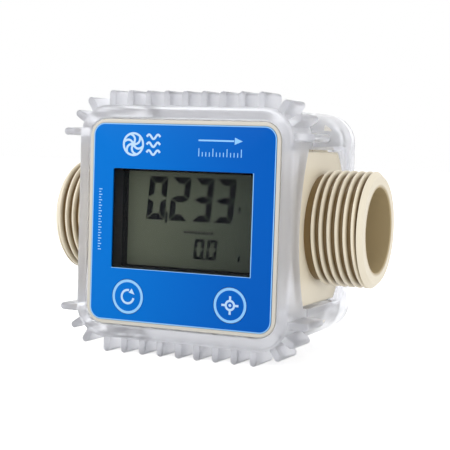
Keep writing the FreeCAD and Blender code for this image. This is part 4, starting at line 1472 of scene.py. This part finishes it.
@dataclass
class Digits:
    """Slanted seven-segment numerals, as thin dark solids on the display glass."""
    face: float
    slant: float = 0.085
    mitre: float = 0.1
    thick: float = 0.04 * MM
    above: float = 0.005 * MM
    # The border's sizes: partly printed border, partly painted shadow of the window's edges.
    mask_over: float = 0.3 * MM
    mask_side: float = 2.0 * MM
    mask_level: float = 0.7 * MM
    mask_corners: tuple[float, float] = (0.5 * MM, 0.3 * MM)
    large: Reading = Reading("0233", 0.95, 5.85, 12.35, 1.85, (-13.75, -6.55, 0.6, 7.35),
                             ((-7.7, 0.1, 0.75, 3.2), (14.6, 3.9, 0.7, 1.8)))
    small: Reading = Reading("00", -9.6, 3.1, 5.8, 1.0, (1.45, 5.4),
                             ((4.65, -10.1, 0.5, 1.2), (15.1, -9.6, 0.7, 1.8),
                              *((-2.2 + 1.2 * bar, -2.6, 0.6, 0.9) for bar in range(8))))

    def area(self, corners: np.ndarray, foot: float) -> Solid:
        """A convex dark area given in mm, slanted about its foot.

        Each point moves to the right by slant times its height over the foot.

        Args:
            corners: its corners (x, z) in order.
            foot: the height that stays in place.
        Returns:
            The printed area.
        """
        lean = np.stack([(corners[:, 1] - foot) * self.slant, np.zeros(len(corners))], -1)
        return patch((corners + lean) * MM, self.face - self.thick, self.face - self.above)

    def block(self, x: float, z: float, wide: float, tall: float, foot: float) -> Solid:
        """A dark block whose lower left corner is (x, z)."""
        corners = np.array([(0, 0), (wide, 0), (wide, tall), (0, tall)])
        return self.area(corners + np.array([x, z]), foot)

    def numeral(self, row: Reading, digit: str, x: float) -> list[Solid]:
        """The lit segments of one numeral, mitred where they meet.

        The upper bar and the upper right post are mirrored down and across for the others.

        Args:
            row: the row that it stands in.
            digit: the numeral.
            x: where its foot starts.
        Returns:
            The lit segments.
        """
        line, wide, tall, gap = row.line, row.wide, row.tall, self.mitre * row.line
        inner, middle = line + gap, tall / 2
        bar = np.array([(gap, tall), (wide - gap, tall), (wide - inner, tall - line),
                        (inner, tall - line)])
        post = np.array([(wide, tall - gap), (wide, middle + gap),
                         (wide - line, middle + line / 2 + gap), (wide - line, tall - inner)])
        centre = np.array([(gap, middle), (inner, middle + line / 2), (wide - inner, middle + line / 2),
                           (wide - gap, middle), (wide - inner, middle - line / 2),
                           (inner, middle - line / 2)])
        down, across = np.array([1, -1]), np.array([-1, 1])
        shapes = {"a": bar, "b": post, "c": post * down + (0, tall), "d": bar * down + (0, tall),
                  "e": np.array([wide, tall]) - post, "f": post * across + (wide, 0), "g": centre}
        return [self.area(shapes[name] + np.array([x, row.foot]), row.foot) for name in LIT[digit]]

    def row(self, row: Reading) -> list[Solid]:
        """All numerals and marks of one row."""
        numerals = [self.numeral(row, digit, x) for digit, x in zip(row.digits, row.places)]
        return sum(numerals, []) + [self.block(*mark, row.foot) for mark in row.marks]

    def build_mask_and_shadow(self, window: tuple[float, float, float]) -> None:
        """The black border on the glass inside the window: partly a printed border, partly painted
        shadow of the window's edges.

        Args:
            window: half width, half height and centre height of the window.
        """
        wide, tall, rise = window
        outer_corner, inner_corner = self.mask_corners
        outer = rounded_rectangle(wide + self.mask_over, tall + self.mask_over, outer_corner, 4)
        inner = rounded_rectangle(wide - self.mask_side, tall - self.mask_level, inner_corner, 4)
        outer, inner = outer + np.array([0.0, rise]), inner + np.array([0.0, rise])
        front, back = self.face - self.thick, self.face + SUNK
        rings = np.stack([facing_front(outer, back), facing_front(outer, front),
                          facing_front(inner, front), facing_front(inner, back)])
        finished(new_object("display_mask_and_shadow", looped(rings)), Dress.SEGMENT, "meter", Slot.GLASS)

    def build_reading(self) -> None:
        """The large row above and the small one below, each with its marks."""
        solids = self.row(self.large) + self.row(self.small)
        shape = new_object("display_reading", Solid.joined(solids))
        finished(shape, Dress.SEGMENT, "meter", Slot.GLASS)


# ---------------------------------------------------------------- inner parts

def dress_inner_parts(nodes: dict[str, bpy.types.Object]) -> None:
    """Give the CAD nodes that stay in view their own finishes.

    Args:
        nodes: the CAD nodes by name.
    """
    contacts = [f"{tube}_{kind}_contact" for tube in ("upper", "lower") for kind in ("end", "spring")]
    dressed = {
        Dress.SEAL: ("cover_gasket", "upper_cap_seal", "lower_cap_seal"),
        Dress.LENS: ("window_lens",), Dress.FRAME: ("display_frame",), Dress.CELL: ("lcd_panel",),
        Dress.STRIP: ("connector_strips",), Dress.BOARD: ("circuit_board",),
        Dress.CHIP: ("board_parts", "key_switches", "reset_plunger", "cal_plunger"),
        Dress.REED: ("reed_switches",), Dress.SLEEVE: ("upper_battery", "lower_battery"),
        Dress.SPRING: contacts, Dress.CREAM: ("upper_battery_cap", "lower_battery_cap"),
        Dress.ROTOR: ("rotor", "inlet_support", "outlet_support"), Dress.MAGNET: ("rotor_magnets",),
        Dress.BRASS: ("rotor_bushes",), Dress.STEEL: ("cover_screws", "rotor_shaft", "retaining_ring")}
    for dress, names in dressed.items():
        for name in names:
            for slot in nodes[name].material_slots:
                slot.material = dress.value.material()
            LOG.info("%s: dressed in %s", name, dress.value.name)


# ---------------------------------------------------------------- studio

@dataclass
class Studio:
    """White surroundings, three soft lamps and the camera."""
    floor_level: float
    floor_half: float = 4.0
    floor_glow: float = 0.62
    lighting: float = 0.62
    lens: float = 98.3
    sensor: float = 36.0
    place: tuple[float, float, float] = (148.77 * MM, -335.15 * MM, 21.35 * MM)
    azimuth: float = 23.81
    elevation: float = 3.49
    roll: float = 1.81

    def build_camera(self) -> None:
        """The camera: its back axis follows azimuth and elevation, then it rolls about it."""
        azimuth, elevation, roll = map(math.radians, (self.azimuth, self.elevation, self.roll))
        right = Vector((math.cos(azimuth), math.sin(azimuth), 0))
        level = math.cos(elevation)
        back = Vector((math.sin(azimuth) * level, -math.cos(azimuth) * level, math.sin(elevation)))
        up = back.cross(right)
        upright, tilt = math.cos(roll), math.sin(roll)
        axes = (right * upright + up * tilt, up * upright - right * tilt, back)
        camera = bpy.data.objects.new("camera", bpy.data.cameras.new("camera"))
        camera.data.lens = self.lens
        camera.data.sensor_width = self.sensor
        camera.data.clip_start = 0.01
        camera.matrix_world = Matrix.Translation(self.place) @ Matrix(axes).transposed().to_4x4()
        bpy.context.scene.collection.objects.link(camera)
        bpy.context.scene.camera = camera

    @staticmethod
    def build_lamp(name: str, place: tuple[float, float, float], power: float, size: float) -> None:
        """A square soft lamp that looks at the meter.

        Args:
            name: name of the lamp.
            place: where it hangs.
            power: its power in watts.
            size: its side.
        """
        lamp = bpy.data.objects.new(name, bpy.data.lights.new(name, "AREA"))
        lamp.data.energy = power
        lamp.data.size = size
        lamp.location = place
        lamp.rotation_euler = (-Vector(place)).to_track_quat("-Z", "Y").to_euler()
        bpy.context.scene.collection.objects.link(lamp)

    @staticmethod
    def seen_directly(graph: Graph) -> bpy.types.NodeSocket:
        """1 for camera, glossy and transmission rays, and 0 for the rays that light a surface.

        Args:
            graph: the tree of a material or the world.
        Returns:
            The mask.
        """
        path = graph.node("LightPath").outputs
        seen = graph.math("MAXIMUM", path["Is Camera Ray"], path["Is Glossy Ray"])
        return graph.math("MAXIMUM", seen, path["Is Transmission Ray"])

    def build_world(self) -> None:
        """White where it is seen, and a soft even light on the meter."""
        world = bpy.data.worlds.new("white_surroundings")
        world.use_nodes = True
        bpy.context.scene.world = world
        graph = Graph(world.node_tree)
        background = world.node_tree.nodes["Background"].inputs
        graph.feed(background["Color"], WHITE)
        strength = graph.spread(self.seen_directly(graph), 0.0, 1.0, self.lighting, 1.0)
        graph.feed(background["Strength"], strength)

    def build_floor(self) -> None:
        """A wide white floor that glows faintly where it is seen, and keeps the meter's shadow."""
        half, level = self.floor_half, self.floor_level
        ends = ((-half, -half), (half, -half), (half, half), (-half, half))
        corners = [(x, y, level) for x, y in ends]
        mesh = bpy.data.meshes.new("floor")
        mesh.from_pydata(corners, [], [(0, 1, 2, 3)])
        floor = bpy.data.objects.new("floor", mesh)
        bpy.context.scene.collection.objects.link(floor)
        shader = Shader("white_floor")
        glow = shader.math("MULTIPLY", self.seen_directly(shader), self.floor_glow)
        shader.set(Base_Color=(0.85, 0.85, 0.85, 1.0), Roughness=0.9, Specular_IOR_Level=0.1,
                   Emission_Color=WHITE, Emission_Strength=glow)
        mesh.materials.append(shader.material)

    def build(self) -> None:
        """Set the view transform and make everything round the meter."""
        bpy.context.scene.view_settings.view_transform = "Standard"
        self.build_camera()
        self.build_floor()
        self.build_world()
        self.build_lamp("key_lamp", (-0.55, -0.75, 0.55), 4.6, 0.5)
        self.build_lamp("fill_lamp", (0.75, -0.5, 0.25), 1.6, 0.5)
        self.build_lamp("top_lamp", (0.1, 0.35, 0.9), 2.6, 0.6)


# ---------------------------------------------------------------- assembly

def main() -> None:
    """Build the meter round its frame, piece by piece."""
    logging.basicConfig(level=logging.INFO, format="%(name)s: %(message)s")
    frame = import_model()
    jacket_box = Box.of("jacket")
    Studio(floor_level=jacket_box.low.z).build()
    cheek = Cheek()
    FlowPipe(reach=Box.of("main_body").high.x).build()
    Housing(cheek).build()
    Jacket(jacket_box, cheek).build()
    keys = {name: Box.of(f"{name}_key") for name in ("reset", "cal")}
    front = Front(Box.of("label"), Box.of("window_lens"), Box.of("front_cover"), keys)
    front.build_cover()
    front.build_label()
    for name in keys:
        front.build_key(name)
    artwork = Artwork(front.label.low.y)
    artwork.build_signs()
    artwork.build_reset_sign(keys["reset"])
    artwork.build_cal_sign(keys["cal"])
    digits = Digits(Box.of("lcd_panel").low.y)
    digits.build_mask_and_shadow(front.window())
    digits.build_reading()
    dress_inner_parts(frame["nodes"])


if __name__ == "__main__":
    main()
